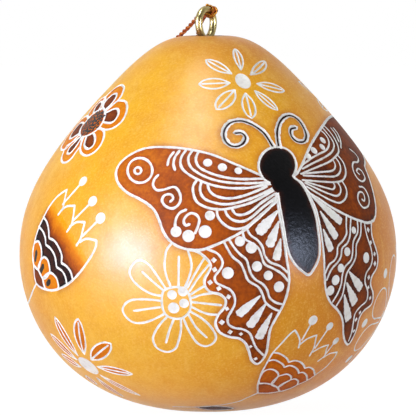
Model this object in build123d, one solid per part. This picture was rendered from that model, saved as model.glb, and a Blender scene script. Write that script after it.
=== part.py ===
from build123d import *
from math import atan2, cos, degrees, hypot, pi, radians, sin, sqrt, tan
import os

# Carved gourd, a small hanging ornament made from one dried fruit.
# Millimetres, +Z up, origin at the centre of the trimmed foot.
# The front of the carving faces -Y.

# Dried rind
belly_radius = 42.5
belly_height = 34.6
gourd_height = 84.1
foot_radius = 9.0
rind_wall = 3.0

# Outline of the rind, as shares of the sizes above
shoulder_radius_share = 0.464
shoulder_height_share = 0.819
shoulder_slope_angle = 45.6
foot_handle_out_share = 0.77
foot_handle_up_share = 0.094
belly_lower_handle_share = 0.333
belly_upper_handle_share = 0.276
shoulder_lower_handle_share = 0.596
shoulder_upper_handle_share = 0.667
crown_handle_share = 0.303

# Woody stem stub, a plug through the top of the rind
stem_radius = 5.0
stem_length = 17.0
stem_tip_radius = 3.4
stem_straight_length = 7.0
dimple_mouth_radius = 3.9
dimple_floor_radius = 2.7
dimple_depth = 2.0

# Screw eye of round wire
wire_diameter = 1.65
eye_inner_radius = 2.07
eye_drop = 3.8
eye_nose_radius = 1.6
eye_height_above_crown = 3.05
eye_offset = 0.8
eye_yaw = 55.6
shank_length = 12.0
point_length = 2.0
point_tip_radius = 0.1
thread_length = 7.0
thread_pitch = 0.9
thread_depth = 0.22
thread_height = 0.18
thread_run_out = 0.4
thread_crest_width = 0.12
thread_flank_width = 0.5
running_clearance = 0.06

# Knot of the cord round the wire, and the hanging loop
knot_angle = 31.0
knot_radius = 1.6
cord_diameter = 1.0

# Dried pith, left on the stem stub
pith_length = 17.0
pith_radius = 6.5
pith_tip_radius = 1.8
pith_widest_share = 0.45

# Loose seeds on the floor of the cavity
seed_length = 11.0
seed_width = 5.8
seed_tip_width = 3.4
seed_thickness = 2.4
seed_corner_radius = 1.2
seed_edge_radius = 0.8
seed_clearance = 0.3
inner_ring_count = 6
outer_ring_count = 10
inner_ring_share = 0.04
outer_ring_share = 0.24
seed_yaw_swing = 14.0

overrun = 1.0

# Sizes that follow from those above
wire_radius = wire_diameter / 2
eye_radius = eye_inner_radius + wire_radius
eye_centre_height = gourd_height + eye_height_above_crown
cord_radius = cord_diameter / 2

# Route of the hanging loop, from the knot over the back and up to the knot again
cord_route = [
    (-0.6, 2.3, 90.5),
    (-3.0, 4.7, 87.4),
    (-5.7, 7.3, 84.6),
    (-8.7, 10.0, 82.0),
    (-12.3, 13.3, 78.3),
    (-17.9, 18.1, 70.7),
    (-23.4, 23.4, 61.9),
    (-27.6, 28.7, 51.7),
    (-29.7, 32.1, 39.8),
    (-29.5, 33.4, 27.5),
    (-27.0, 35.4, 16.5),
    (-21.6, 38.8, 11.0),
    (-16.0, 41.4, 16.0),
    (-13.6, 42.2, 27.0),
    (-12.7, 41.9, 39.8),
    (-10.4, 38.3, 51.7),
    (-7.6, 32.0, 61.9),
    (-5.1, 24.6, 70.9),
    (-3.3, 17.3, 78.7),
    (-2.3, 11.1, 83.4),
    (-2.1, 6.0, 86.4),
    (-0.9, 1.9, 88.3),
]


def outline_nodes(inset):
    """Control points of the three curves from the foot to the crown, set in by a wall."""
    foot = (foot_radius, inset)
    belly = (belly_radius - inset, belly_height)
    crown = (0, gourd_height - inset)
    lean = radians(shoulder_slope_angle)
    shoulder_rise = shoulder_height_share * (gourd_height - belly_height)
    shoulder = (
        shoulder_radius_share * belly_radius - inset * sin(lean),
        belly_height + shoulder_rise - inset * cos(lean),
    )
    flank = hypot(belly[0] - shoulder[0], shoulder[1] - belly[1])
    cap = hypot(shoulder[0], crown[1] - shoulder[1])
    lower_handle = shoulder_lower_handle_share * flank
    upper_handle = shoulder_upper_handle_share * cap
    lower = [
        foot,
        (
            foot[0] + foot_handle_out_share * (belly[0] - foot[0]),
            foot[1] + foot_handle_up_share * (belly[1] - foot[1]),
        ),
        (belly[0], belly[1] - belly_lower_handle_share * (belly[1] - foot[1])),
        belly,
    ]
    upper = [
        belly,
        (belly[0], belly[1] + belly_upper_handle_share * (shoulder[1] - belly[1])),
        (shoulder[0] + lower_handle * cos(lean), shoulder[1] - lower_handle * sin(lean)),
        shoulder,
    ]
    top = [
        shoulder,
        (shoulder[0] - upper_handle * cos(lean), shoulder[1] + upper_handle * sin(lean)),
        (crown_handle_share * shoulder[0], crown[1]),
        crown,
    ]
    return lower, upper, top


def on_plane(point):
    """A (radius, height) pair as a point on the XZ plane."""
    return Vector(point[0], 0, point[1])


def gourd_solid(inset):
    """The full body inside the rind's outer face, or inside its inner face."""
    curves = [Bezier(*[on_plane(p) for p in nodes]) for nodes in outline_nodes(inset)]
    foot = on_plane((foot_radius, inset))
    base = Vector(0, 0, inset)
    crown = on_plane((0, gourd_height - inset))
    edges = [Line(base, foot)] + curves + [Line(crown, base)]
    face = make_face(Wire(edges))
    return revolve(face, Axis.Z)


def bezier_at(nodes, share):
    """Point and direction of a cubic curve at a share of its run."""
    rest = 1 - share
    weights = (rest**3, 3 * share * rest**2, 3 * share**2 * rest, share**3)
    slopes = (
        -3 * rest**2,
        3 * rest**2 - 6 * share * rest,
        6 * share * rest - 3 * share**2,
        3 * share**2,
    )
    point = [sum(w * node[k] for w, node in zip(weights, nodes)) for k in (0, 1)]
    run = [sum(w * node[k] for w, node in zip(slopes, nodes)) for k in (0, 1)]
    return point, degrees(atan2(run[1], run[0]))


def make_gourd_shell(outer, inner):
    """Hollow rind with a round hole for the stem stub."""
    hole_length = gourd_height - belly_height
    hole = Pos(0, 0, belly_height + hole_length / 2 + overrun) * Cylinder(stem_radius, hole_length)
    return outer - inner - hole


def make_stem_core(outer):
    """Woody plug, flush with the crown, dished for the eye and bored for its shank."""
    half_outline = Polyline(
        (0, 0, gourd_height - stem_length),
        (stem_tip_radius, 0, gourd_height - stem_length),
        (stem_radius, 0, gourd_height - stem_straight_length),
        (stem_radius, 0, gourd_height + overrun),
        (0, 0, gourd_height + overrun),
        close=True,
    )
    blank = revolve(make_face(half_outline), Axis.Z) & outer
    dimple_slope = (dimple_mouth_radius - dimple_floor_radius) / dimple_depth
    dimple = Pos(0, 0, gourd_height - dimple_depth) * Cone(
        dimple_floor_radius,
        dimple_mouth_radius + dimple_slope * overrun,
        dimple_depth + overrun,
        align=(Align.CENTER, Align.CENTER, Align.MIN),
    )
    bore_depth = shank_length + running_clearance
    bore = Pos(0, 0, gourd_height - dimple_depth - bore_depth) * Cylinder(
        wire_radius + running_clearance,
        bore_depth + overrun,
        align=(Align.CENTER, Align.CENTER, Align.MIN),
    )
    return blank - dimple - bore


def eye_plane():
    """Plane of the ring: x runs along the ring, y runs up, centred on the ring."""
    along = Vector(cos(radians(eye_yaw)), sin(radians(eye_yaw)), 0)
    centre = along * -eye_offset + Vector(0, 0, eye_centre_height)
    return Plane(origin=centre, x_dir=along, z_dir=along.cross(Vector(0, 0, 1)))


def make_screw_eye():
    """Ring of wire, drawn in towards its nose, on a threaded shank."""
    nose_drop = eye_drop - eye_nose_radius
    flank_radius = (eye_radius**2 + nose_drop**2 - eye_nose_radius**2) / (
        2 * (eye_radius - eye_nose_radius)
    )
    flank_centre = flank_radius - eye_radius
    turn = degrees(atan2(nose_drop, flank_centre))
    arcs = [
        CenterArc((0, 0), eye_radius, 0, 180),
        CenterArc((flank_centre, 0), flank_radius, 180, turn),
        CenterArc((0, -nose_drop), eye_nose_radius, 180 + turn, 180 - 2 * turn),
        CenterArc((-flank_centre, 0), flank_radius, -turn, turn),
    ]
    path = eye_plane() * Wire([arc.edge() for arc in arcs])
    ring = sweep(Plane(origin=path @ 0, z_dir=path % 0) * Circle(wire_radius), path=path)

    nose_reach = sqrt(max(eye_nose_radius**2 - eye_offset**2, 0))
    shank_top = eye_centre_height - nose_drop - nose_reach + wire_radius / 2
    shank_bottom = gourd_height - dimple_depth - shank_length
    root_radius = wire_radius - thread_depth
    plain_bottom = shank_bottom + point_length + thread_length
    plain = Pos(0, 0, plain_bottom) * Cylinder(
        wire_radius, shank_top - plain_bottom, align=(Align.CENTER, Align.CENTER, Align.MIN)
    )
    root = Pos(0, 0, shank_bottom + point_length) * Cylinder(
        root_radius, thread_length, align=(Align.CENTER, Align.CENTER, Align.MIN)
    )
    point = Pos(0, 0, shank_bottom) * Cone(
        point_tip_radius, root_radius, point_length, align=(Align.CENTER, Align.CENTER, Align.MIN)
    )
    bar = plain + root + point

    thread_bottom = shank_bottom + point_length + thread_run_out
    coil = Helix(
        thread_pitch, thread_length - 2 * thread_run_out, root_radius, center=(0, 0, thread_bottom)
    )
    foot_radius_of_ridge = root_radius - thread_depth / 2
    ridge = Polyline(
        (foot_radius_of_ridge, 0, -thread_flank_width / 2),
        (root_radius + thread_height, 0, -thread_crest_width / 2),
        (root_radius + thread_height, 0, thread_crest_width / 2),
        (foot_radius_of_ridge, 0, thread_flank_width / 2),
        close=True,
    )
    thread = sweep(Pos(0, 0, thread_bottom) * make_face(ridge), path=coil, is_frenet=True)
    return ring + bar + thread


def knot_centre():
    """Centre of the wire where the cord is tied."""
    plane = eye_plane()
    lateral = eye_radius * sin(radians(knot_angle))
    rise = eye_radius * cos(radians(knot_angle))
    return plane.from_local_coords(Vector(lateral, rise, 0))


def make_hanger_knot(eye):
    """Tight knot round the wire, as a ball that the wire passes through."""
    centre = knot_centre()
    ball = Pos(centre.X, centre.Y, centre.Z) * Sphere(knot_radius)
    return ball - eye


def corner_radii(points):
    """Largest tangent arc at each corner that leaves a tenth of the shorter run straight."""
    radii = []
    for before, corner, after in zip(points, points[1:], points[2:]):
        run_in = Vector(corner) - Vector(before)
        run_out = Vector(after) - Vector(corner)
        half_turn = radians(run_in.get_angle(run_out)) / 2
        radii.append(0.45 * min(run_in.length, run_out.length) / tan(half_turn))
    return radii


def make_hanger_cord():
    """Tube along the loop, as straight runs joined by tangent arcs."""
    radii = corner_radii(cord_route)
    path = FilletPolyline(*cord_route, radius=radii)
    section = Plane(origin=path @ 0, z_dir=path % 0) * Circle(cord_radius)
    tube = sweep(section, path=path)
    expected = pi * cord_radius**2 * path.length
    print("cord length", round(path.length, 2), "mm")
    print("cord radii", [round(radius, 1) for radius in radii])
    print("cord volume over section times length", round(tube.volume / expected, 5))
    return tube


def make_pith():
    """Shrunken column of pulp that hangs from the stem stub."""
    top = gourd_height - stem_length
    widest = top - pith_widest_share * pith_length
    bottom = top - pith_length
    flank = Spline(
        Vector(stem_tip_radius, 0, top),
        Vector(pith_radius, 0, widest),
        Vector(pith_tip_radius, 0, bottom),
    )
    edges = [
        Line(Vector(0, 0, top), Vector(stem_tip_radius, 0, top)),
        flank,
        Line(Vector(pith_tip_radius, 0, bottom), Vector(0, 0, bottom)),
        Line(Vector(0, 0, bottom), Vector(0, 0, top)),
    ]
    return revolve(make_face(Wire(edges)), Axis.Z)


def make_seed():
    """One flat seed, broad at one end, lying on XY round the origin."""
    blank = Polyline(
        (-seed_length / 2, -seed_tip_width / 2),
        (seed_length / 2, -seed_width / 2),
        (seed_length / 2, seed_width / 2),
        (-seed_length / 2, seed_tip_width / 2),
        close=True,
    )
    slab = extrude(make_face(blank), seed_thickness / 2, both=True)
    slab = fillet(slab.edges().filter_by(Axis.Z), seed_corner_radius)
    rims = slab.faces().filter_by(Axis.Z).edges()
    return fillet(rims, seed_edge_radius)


def make_loose_seeds():
    """Seeds in two rings and one in the middle, each flat on the floor of the cavity."""
    seed = make_seed()
    floor_curve = outline_nodes(rind_wall)[0]
    floor_height = floor_curve[0][1]
    half_length = seed_length / 2
    sink = half_length**2 / (2 * (belly_radius - rind_wall))
    lift = seed_clearance + sink + seed_thickness / 2
    seeds = [Pos(0, 0, floor_height + seed_clearance + seed_thickness / 2) * seed]
    rings = ((inner_ring_count, inner_ring_share, 0), (outer_ring_count, outer_ring_share, 90))
    for count, share, turn in rings:
        (reach, height), slope = bezier_at(floor_curve, share)
        reach = reach - lift * sin(radians(slope))
        height = height + lift * cos(radians(slope))
        for index in range(count):
            yaw = turn + seed_yaw_swing * ((index * 2 + 1) % 3 - 1)
            azimuth = 360 * (index + 0.5) / count
            seat = Rot(0, 0, azimuth) * Pos(reach, 0, height) * Rot(0, -slope, 0)
            seeds.append(seat * Rot(0, 0, yaw) * seed)
    return Compound(children=seeds)


def main():
    os.makedirs("parts", exist_ok=True)
    outer = gourd_solid(0)
    inner = gourd_solid(rind_wall)
    eye = make_screw_eye()
    pieces = {
        "gourd_shell": make_gourd_shell(outer, inner),
        "stem_core": make_stem_core(outer),
        "screw_eye": eye,
        "hanger_knot": make_hanger_knot(eye),
        "hanger_cord": make_hanger_cord(),
        "dried_pith": make_pith(),
        "loose_seeds": make_loose_seeds(),
    }
    for name, piece in pieces.items():
        export_step(piece, f"parts/{name}.step")
    centre = knot_centre()
    print("knot centre", [round(value, 3) for value in centre])


main()
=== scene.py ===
import math
import random

import bpy
import numpy as np
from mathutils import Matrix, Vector, geometry, kdtree


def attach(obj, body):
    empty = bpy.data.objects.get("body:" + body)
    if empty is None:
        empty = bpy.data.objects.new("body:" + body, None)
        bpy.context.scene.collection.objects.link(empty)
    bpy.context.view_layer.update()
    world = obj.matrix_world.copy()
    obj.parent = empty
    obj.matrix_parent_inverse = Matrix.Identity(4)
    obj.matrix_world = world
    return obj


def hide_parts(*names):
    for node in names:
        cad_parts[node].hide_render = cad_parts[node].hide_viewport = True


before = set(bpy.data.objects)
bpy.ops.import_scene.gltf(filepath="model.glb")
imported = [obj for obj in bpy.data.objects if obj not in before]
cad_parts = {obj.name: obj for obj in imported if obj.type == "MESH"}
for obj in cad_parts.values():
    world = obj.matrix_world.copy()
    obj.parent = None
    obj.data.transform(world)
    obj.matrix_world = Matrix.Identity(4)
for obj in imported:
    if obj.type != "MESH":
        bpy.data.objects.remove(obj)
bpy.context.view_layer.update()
random.seed(7)

# Outline of the rind, in metres and shares, the same curves as in the CAD part
BELLY_RADIUS = 0.0425
BELLY_HEIGHT = 0.0346
GOURD_HEIGHT = 0.0841
FOOT_RADIUS = 0.009
STEM_RADIUS = 0.005
RIND_WALL = 0.003
SHOULDER_RADIUS_SHARE = 0.464
SHOULDER_HEIGHT_SHARE = 0.819
SHOULDER_SLOPE = math.radians(45.6)
FOOT_HANDLE_OUT_SHARE = 0.77
FOOT_HANDLE_UP_SHARE = 0.094
BELLY_LOWER_HANDLE_SHARE = 0.333
BELLY_UPPER_HANDLE_SHARE = 0.276
SHOULDER_LOWER_HANDLE_SHARE = 0.596
SHOULDER_UPPER_HANDLE_SHARE = 0.667
CROWN_HANDLE_SHARE = 0.303
OUTLINE_POINTS = 700
FOOT_POINTS = 90
FOOT_MIDDLE = 0.0002

# Camera of the photograph, 416 pixels square
IMAGE_SIZE = 416
CAMERA_DISTANCE = 1.2
CAMERA_ELEVATION = math.radians(3)
CAMERA_AIM_HEIGHT = 0.0453
METRES_PER_PIXEL = 0.0002255
SENSOR_WIDTH = 36.0
CAMERA_REACH = 20
# A ray is searched from this many belly radii before the axis, by halving
RAY_START = 1.5
RAY_HALVINGS = 40

# Tool marks and the grid between them: lengths in metres, and shares, counts and tones. A
# stroke's waves are in radians for each of its steps.
LINE_WIDTH = 0.00059
LINE_DEPTH = 0.00022
FINE_LINE_WIDTH = 0.00046
FLOWER_LINE_WIDTH = 0.00052
LEFT_TULIP_LINE = 0.00054
RIGHT_TULIP_LINE = 0.00043
DOT_DEPTH = 0.0002
DEEP_PIT = 0.0006
STROKE_STEP = 0.0004
TAPER_STEP = 0.00022
SHORT_WAVE = 0.9
LONG_WAVE = 0.37
WAVE_START_MOST = 6.28
STROKE_UNEVEN = 0.10
DROP_TIP_SHARE = 0.22
DROP_BROAD_FROM = 0.62
DROP_END_POWER = 4
DROP_END_LEAST = 0.02
DROP_WAVES = 9
DROP_WAVE_SHARE = 0.05
DROP_WAVE_START_MOST = 6
DROP_ROUGH = (0.95, 1.05)
CHIP_TURN = 0.3
PIT_SIDES = 18
HEART_SIDES = 24
PIT_FLOOR_SHARE = 0.6
SMOOTH_PARTS = 12
LEAST_GAP = 1e-9
MIDDLE_GAP = 1e-6
FADE_POWER = 1.5
FILL_STEP = 2 * STROKE_STEP
SMOKE_STEP = 0.0003
SKIN_SPACING = 0.0010
ROW_SHARE = 0.866
FIRST_ROW = 12
RIM_SIDES = 96
FOOT_SIDES = 72
INSIDE_POINTS = 24
INSIDE_MIDDLE = 0.0005
SKIN_CLEARANCE = 0.0004
SCORCH_REACH = 0.0024
EDGE_REACH = 0.0007
SCORCHING_TONE = 0.3
WIDE_PIT_STEEPNESS = 2.4


def colour(red, green, blue):
    """A colour written as in a paint program, 0 to 255, as linear values."""
    linear = []
    for value in (red, green, blue):
        share = value / 255
        linear.append(share / 12.92 if share <= 0.04045 else ((share + 0.055) / 1.055) ** 2.4)
    return (*linear, 1.0)


def bezier(nodes, count):
    """Points on one cubic curve, from its two ends and two handles."""
    share = np.linspace(0, 1, count)[:, None]
    rest = 1 - share
    a, b, c, d = np.array(nodes, float)
    return a * rest**3 + 3 * b * share * rest**2 + 3 * c * share**2 * rest + d * share**3


def outline(inset, count):
    """Radius and height along the rind's outer face, or along its inner face."""
    slope_sin, slope_cos = math.sin(SHOULDER_SLOPE), math.cos(SHOULDER_SLOPE)
    foot = (FOOT_RADIUS, inset)
    belly = (BELLY_RADIUS - inset, BELLY_HEIGHT)
    crown = (0.0, GOURD_HEIGHT - inset)
    rise = SHOULDER_HEIGHT_SHARE * (GOURD_HEIGHT - BELLY_HEIGHT)
    shoulder = (
        SHOULDER_RADIUS_SHARE * BELLY_RADIUS - inset * slope_sin,
        BELLY_HEIGHT + rise - inset * slope_cos,
    )
    flank = SHOULDER_LOWER_HANDLE_SHARE * math.hypot(belly[0] - shoulder[0], shoulder[1] - belly[1])
    cap = SHOULDER_UPPER_HANDLE_SHARE * math.hypot(shoulder[0], crown[1] - shoulder[1])
    lower = [
        foot,
        (
            foot[0] + FOOT_HANDLE_OUT_SHARE * (belly[0] - foot[0]),
            foot[1] + FOOT_HANDLE_UP_SHARE * (belly[1] - foot[1]),
        ),
        (belly[0], belly[1] - BELLY_LOWER_HANDLE_SHARE * (belly[1] - foot[1])),
        belly,
    ]
    upper = [
        belly,
        (belly[0], belly[1] + BELLY_UPPER_HANDLE_SHARE * (shoulder[1] - belly[1])),
        (shoulder[0] + flank * slope_cos, shoulder[1] - flank * slope_sin),
        shoulder,
    ]
    top = [
        shoulder,
        (shoulder[0] - cap * slope_cos, shoulder[1] + cap * slope_sin),
        (CROWN_HANDLE_SHARE * shoulder[0], crown[1]),
        crown,
    ]
    parts = [bezier(lower, count), bezier(upper, count)[1:], bezier(top, count)[1:]]
    return np.concatenate(parts)


# A map of the outer face. A place on it is one complex number: its real part is the angle
# round the axis, and its imaginary part rises by the distance along the face over the radius,
# so that small shapes keep their angles.
flank = outline(0.0, OUTLINE_POINTS)
flank = flank[flank[:, 0] >= STEM_RADIUS]
foot_disc = np.column_stack([
    np.linspace(FOOT_MIDDLE, FOOT_RADIUS, FOOT_POINTS)[:-1],
    np.zeros(FOOT_POINTS - 1),
])
profile = np.concatenate([foot_disc, flank])
profile_radius, profile_height = profile.T
profile_steps = np.hypot(np.diff(profile_radius), np.diff(profile_height))
middle_radius = (profile_radius[1:] + profile_radius[:-1]) / 2
profile_map = np.concatenate([[0], np.cumsum(profile_steps / middle_radius)])
foot_index = len(foot_disc)
profile_map += math.log(FOOT_RADIUS) - profile_map[foot_index]
profile_slope = np.arctan2(np.gradient(profile_height), np.gradient(profile_radius))
profile_slope[:foot_index] = 0
profile_slope[foot_index] = profile_slope[foot_index + 2]

camera_forward = np.array([0, math.cos(CAMERA_ELEVATION), -math.sin(CAMERA_ELEVATION)])
camera_up = np.array([0, math.sin(CAMERA_ELEVATION), math.cos(CAMERA_ELEVATION)])
camera_right = np.array([1.0, 0, 0])
camera_place = np.array([0, 0, CAMERA_AIM_HEIGHT]) - CAMERA_DISTANCE * camera_forward
focal_pixels = CAMERA_DISTANCE / METRES_PER_PIXEL


def on_map(pixels):
    """Casts pixels of the photograph onto the gourd. A pixel beside it goes to its edge."""
    pixels = np.asarray(pixels, float).reshape(-1, 2)
    across = (pixels[:, 0] - IMAGE_SIZE / 2) / focal_pixels
    rise = (IMAGE_SIZE / 2 - pixels[:, 1]) / focal_pixels
    rays = camera_forward + across[:, None] * camera_right + rise[:, None] * camera_up
    level = (rays[:, :2] ** 2).sum(1)
    near_axis = -(rays[:, :2] @ camera_place[:2]) / level
    outside = near_axis - RAY_START * BELLY_RADIUS
    inside = near_axis.copy()
    for _ in range(RAY_HALVINGS):
        half = (outside + inside) / 2
        spots = camera_place + half[:, None] * rays
        limit = np.interp(spots[:, 2], flank[:, 1], flank[:, 0], -1, -1)
        beyond = np.hypot(spots[:, 0], spots[:, 1]) > limit
        outside = np.where(beyond, half, outside)
        inside = np.where(beyond, inside, half)
    spots = camera_place + inside[:, None] * rays
    rise = np.interp(spots[:, 2], flank[:, 1], profile_map[foot_index:])
    return np.arctan2(spots[:, 1], spots[:, 0]) + 1j * rise


def round_back(azimuth, height):
    """A place on the map from degrees round to the right of the front, and a height."""
    rise = np.interp(height, flank[:, 1], profile_map[foot_index:])
    return math.radians(azimuth - 90) + 1j * rise


def radius_on(places):
    return np.interp(np.imag(places), profile_map, profile_radius)


def in_space(places, depth=0.0):
    """Points in space for places on the map, sunk by a depth."""
    angle, rise = np.real(places), np.imag(places)
    radius = np.interp(rise, profile_map, profile_radius)
    height = np.interp(rise, profile_map, profile_height)
    slope = np.interp(rise, profile_map, profile_slope)
    radius = radius - depth * np.sin(slope)
    height = height + depth * np.cos(slope)
    return np.column_stack([radius * np.cos(angle), radius * np.sin(angle), height])


def normals_at(places):
    angle, rise = np.real(places), np.imag(places)
    slope = np.interp(rise, profile_map, profile_slope)
    out = np.sin(slope)
    return np.column_stack([out * np.cos(angle), out * np.sin(angle), -np.cos(slope)])


def smooth(points, closed=False):
    """A smooth line through given points, as Catmull and Rom's curve."""
    points = np.asarray(points, float)
    if len(points) == 2 and not closed:
        share = np.linspace(0, 1, 3 * SMOOTH_PARTS)[:, None]
        return points[0] * (1 - share) + points[1] * share
    if closed:
        knots = np.concatenate([points[-1:], points, points[:2]])
    else:
        before, after = 2 * points[:1] - points[1:2], 2 * points[-1:] - points[-2:-1]
        knots = np.concatenate([before, points, after])
    line = []
    for a, b, c, d in zip(knots, knots[1:], knots[2:], knots[3:]):
        pace = [
            max(np.linalg.norm(q - p), LEAST_GAP) ** 0.5
            for p, q in ((a, b), (b, c), (c, d))
        ]
        lean_b = ((b - a) / pace[0] - (c - a) / (pace[0] + pace[1]) + (c - b) / pace[1]) * pace[1]
        lean_c = ((c - b) / pace[1] - (d - b) / (pace[1] + pace[2]) + (d - c) / pace[2]) * pace[1]
        share = np.linspace(0, 1, SMOOTH_PARTS, endpoint=False)[:, None]
        line.append(
            b * (2 * share**3 - 3 * share**2 + 1)
            + lean_b * (share**3 - 2 * share**2 + share)
            + c * (3 * share**2 - 2 * share**3)
            + lean_c * (share**3 - share**2)
        )
    line = np.concatenate(line)
    return line if closed else np.concatenate([line, points[-1:]])


def smooth_places(places):
    """A smooth line through places on the map."""
    line = smooth(np.column_stack([np.real(places), np.imag(places)]))
    return line[:, 0] + 1j * line[:, 1]


def look_up(along, run, places):
    """Places at distances along a line whose own places have the distances in run."""
    return np.interp(along, run, places.real) + 1j * np.interp(along, run, places.imag)


def evenly(places, step, closed=False):
    """The same line on the map, with places a step apart on the face."""
    if closed:
        places = np.concatenate([places, places[:1]])
    gaps = np.abs(np.diff(places)) * radius_on(places[1:])
    run = np.concatenate([[0], np.cumsum(gaps)])
    count = max(int(round(run[-1] / step)), 3)
    along = np.linspace(0, run[-1], count + 1)
    if closed:
        along = along[:-1]
    return look_up(along, run, places)


class Drawing:
    """Everything carved or burnt into the rind, in the order in which it was done."""

    def __init__(self):
        self.places = []
        self.faces = []
        self.shape_of_face = []
        self.shapes = []
        self.grooves = []

    def new_shape(self, tag, tone=None):
        self.shapes.append((tag, tone))
        return len(self.shapes) - 1

    def add_places(self, places):
        start = len(self.places)
        self.places.extend(places)
        return list(range(start, len(self.places)))

    def add_face(self, corners, shape):
        outline_places = np.array([self.places[i] for i in corners])
        turned = np.roll(outline_places, -1)
        area = (outline_places.real * turned.imag - outline_places.imag * turned.real).sum()
        self.faces.append(list(corners) if area > 0 else list(corners)[::-1])
        self.shape_of_face.append(shape)

    def ribbon(self, line, half_widths, shape, depth, closed=False):
        """A band of the given half widths along a line, with its middle sunk."""
        if closed:
            ahead = np.roll(line, -1) - np.roll(line, 1)
        else:
            ahead = np.gradient(line)
        ahead = ahead / np.abs(ahead)
        side = 1j * ahead * half_widths / radius_on(line)
        left, middle, right = (self.add_places(p) for p in (line + side, line, line - side))
        count = len(line)
        pairs = [(i, (i + 1) % count) for i in range(count if closed else count - 1)]
        for a, b in pairs:
            self.add_face([left[a], middle[a], middle[b], left[b]], shape)
            self.add_face([middle[a], right[a], right[b], middle[b]], shape)
        if not closed:
            for end, way in ((0, -1), (count - 1, 1)):
                reach = way * ahead[end] * half_widths[end] / radius_on(line[end])
                tip = self.add_places([line[end] + reach])[0]
                self.add_face([left[end], tip, middle[end]], shape)
                self.add_face([middle[end], tip, right[end]], shape)
        if depth:
            self.grooves.extend(zip(line, half_widths, [depth] * count))


drawing = Drawing()


# How dark an area is burnt, from 0, bare rind, to 1, black. Each gives a function of places.


def even(tone):
    return lambda places: np.full(len(places), tone)


def shaded(ends, low, high):
    """Darkens steadily from one pixel to another."""
    start, end = on_map(ends)
    way = end - start
    return lambda places: low + (high - low) * np.clip(
        ((places - start) * np.conj(way)).real / abs(way) ** 2, 0, 1
    )


def patchy(tone, patches):
    """The same burning with darker and lighter patches in it."""
    spots = [(on_map([pixel])[0], reach, change) for pixel, reach, change in patches]

    def patched(places):
        result = tone(places)
        for spot, reach, change in spots:
            away = np.abs(places - spot) * radius_on(spot) / reach
            result = result + change * np.exp(-away**2)
        return result

    return patched


def fading(dark_line, bare_line, high):
    """Darkest beside one line of places, and bare at another."""

    def tone(places):
        from_dark = np.abs(places[:, None] - dark_line[None, :]).min(axis=1)
        from_bare = np.abs(places[:, None] - bare_line[None, :]).min(axis=1)
        return high * (from_bare / (from_bare + from_dark + LEAST_GAP)) ** FADE_POWER

    return tone


def stroke(points, width=LINE_WIDTH, closed=False, place=on_map, tag="white", depth=LINE_DEPTH):
    """One gouged line through listed points."""
    stroke_places(place(smooth(points, closed)), width, closed, tag, depth)


def stroke_places(places, width=LINE_WIDTH, closed=False, tag="white", depth=LINE_DEPTH):
    """One gouged line through places on the map, a little uneven, as a hand leaves it."""
    line = evenly(places, STROKE_STEP, closed)
    count = len(line)
    turn = random.uniform(0, WAVE_START_MOST)
    run = np.arange(count)
    if closed:
        run = np.sin(run * 2 * math.pi / count) * count / 4
    waves = np.sin(SHORT_WAVE * run + turn) * np.sin(LONG_WAVE * run + turn)
    rough = np.array([random.uniform(-1, 1) for _ in range(count)])
    half = width / 2 * (1 + STROKE_UNEVEN * waves + STROKE_UNEVEN * rough)
    drawing.ribbon(line, half, drawing.new_shape(tag), depth, closed)


def taper(apex, base, width):
    """A drop-shaped gouge, from its thin end to its broad end, width in metres."""
    line = evenly(on_map(smooth([apex, base])), TAPER_STEP)
    share = np.linspace(0, 1, len(line))
    run = share * len(line) * TAPER_STEP
    broad = np.minimum(DROP_TIP_SHARE + (1 - DROP_TIP_SHARE) * share / DROP_BROAD_FROM, 1)
    to_end = np.clip((run[-1] - run) / (width / 2), 0, 1)
    end = np.sqrt(np.clip(1 - (1 - to_end) ** DROP_END_POWER, DROP_END_LEAST, 1))
    turn = random.uniform(0, DROP_WAVE_START_MOST)
    waves = 1 + DROP_WAVE_SHARE * np.sin(run / width * DROP_WAVES + turn)
    rough = np.array([random.uniform(*DROP_ROUGH) for _ in share])
    half = width / 2 * broad * end * waves * rough
    drawing.ribbon(line, half, drawing.new_shape("white"), DOT_DEPTH)


def dot(centre, radius, place=on_map, **how):
    """A round pit, its radius in metres on the face."""
    dot_place(place([centre])[0], radius, **how)


def dot_place(middle, radius, sides=PIT_SIDES, tag="white", turn=0.0, depth=DOT_DEPTH, stretch=1.0):
    """A round pit at a place on the map, or a flat patch where it has no depth."""
    angles = np.arange(sides) * 2 * math.pi / sides
    ring = radius * (np.cos(angles) + 1j * stretch * np.sin(angles)) / radius_on(middle)
    ring = ring * np.exp(1j * turn)
    shape = drawing.new_shape(tag)
    outer = drawing.add_places(middle + ring)
    if depth:
        inner = drawing.add_places(middle + ring * PIT_FLOOR_SHARE)
        drawing.add_face(inner, shape)
        drawing.grooves.append((middle, radius, depth))
    drawing.add_face(outer, shape)


def fill_places(places, tag, tone=None):
    """An area inside a closed line of places on the map."""
    shape = drawing.new_shape(tag, tone)
    drawing.add_face(drawing.add_places(evenly(places, FILL_STEP, True)), shape)


def fill(points, tone=None, tag="burnt", place=on_map):
    """An area inside a closed smooth line through listed points."""
    fill_places(place(smooth(points, True)), tag, tone)


def moved(centre, azimuth, height, turn=0.0, size=1.0):
    """The same drawing at another place on the gourd, turned to the left by degrees."""
    start = on_map([centre])[0]
    goal = round_back(azimuth, height)
    scale = size * radius_on(start) / radius_on(goal)
    swing = np.exp(1j * math.radians(turn))
    return lambda pixels: goal + (on_map(pixels) - start) * scale * swing


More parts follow.
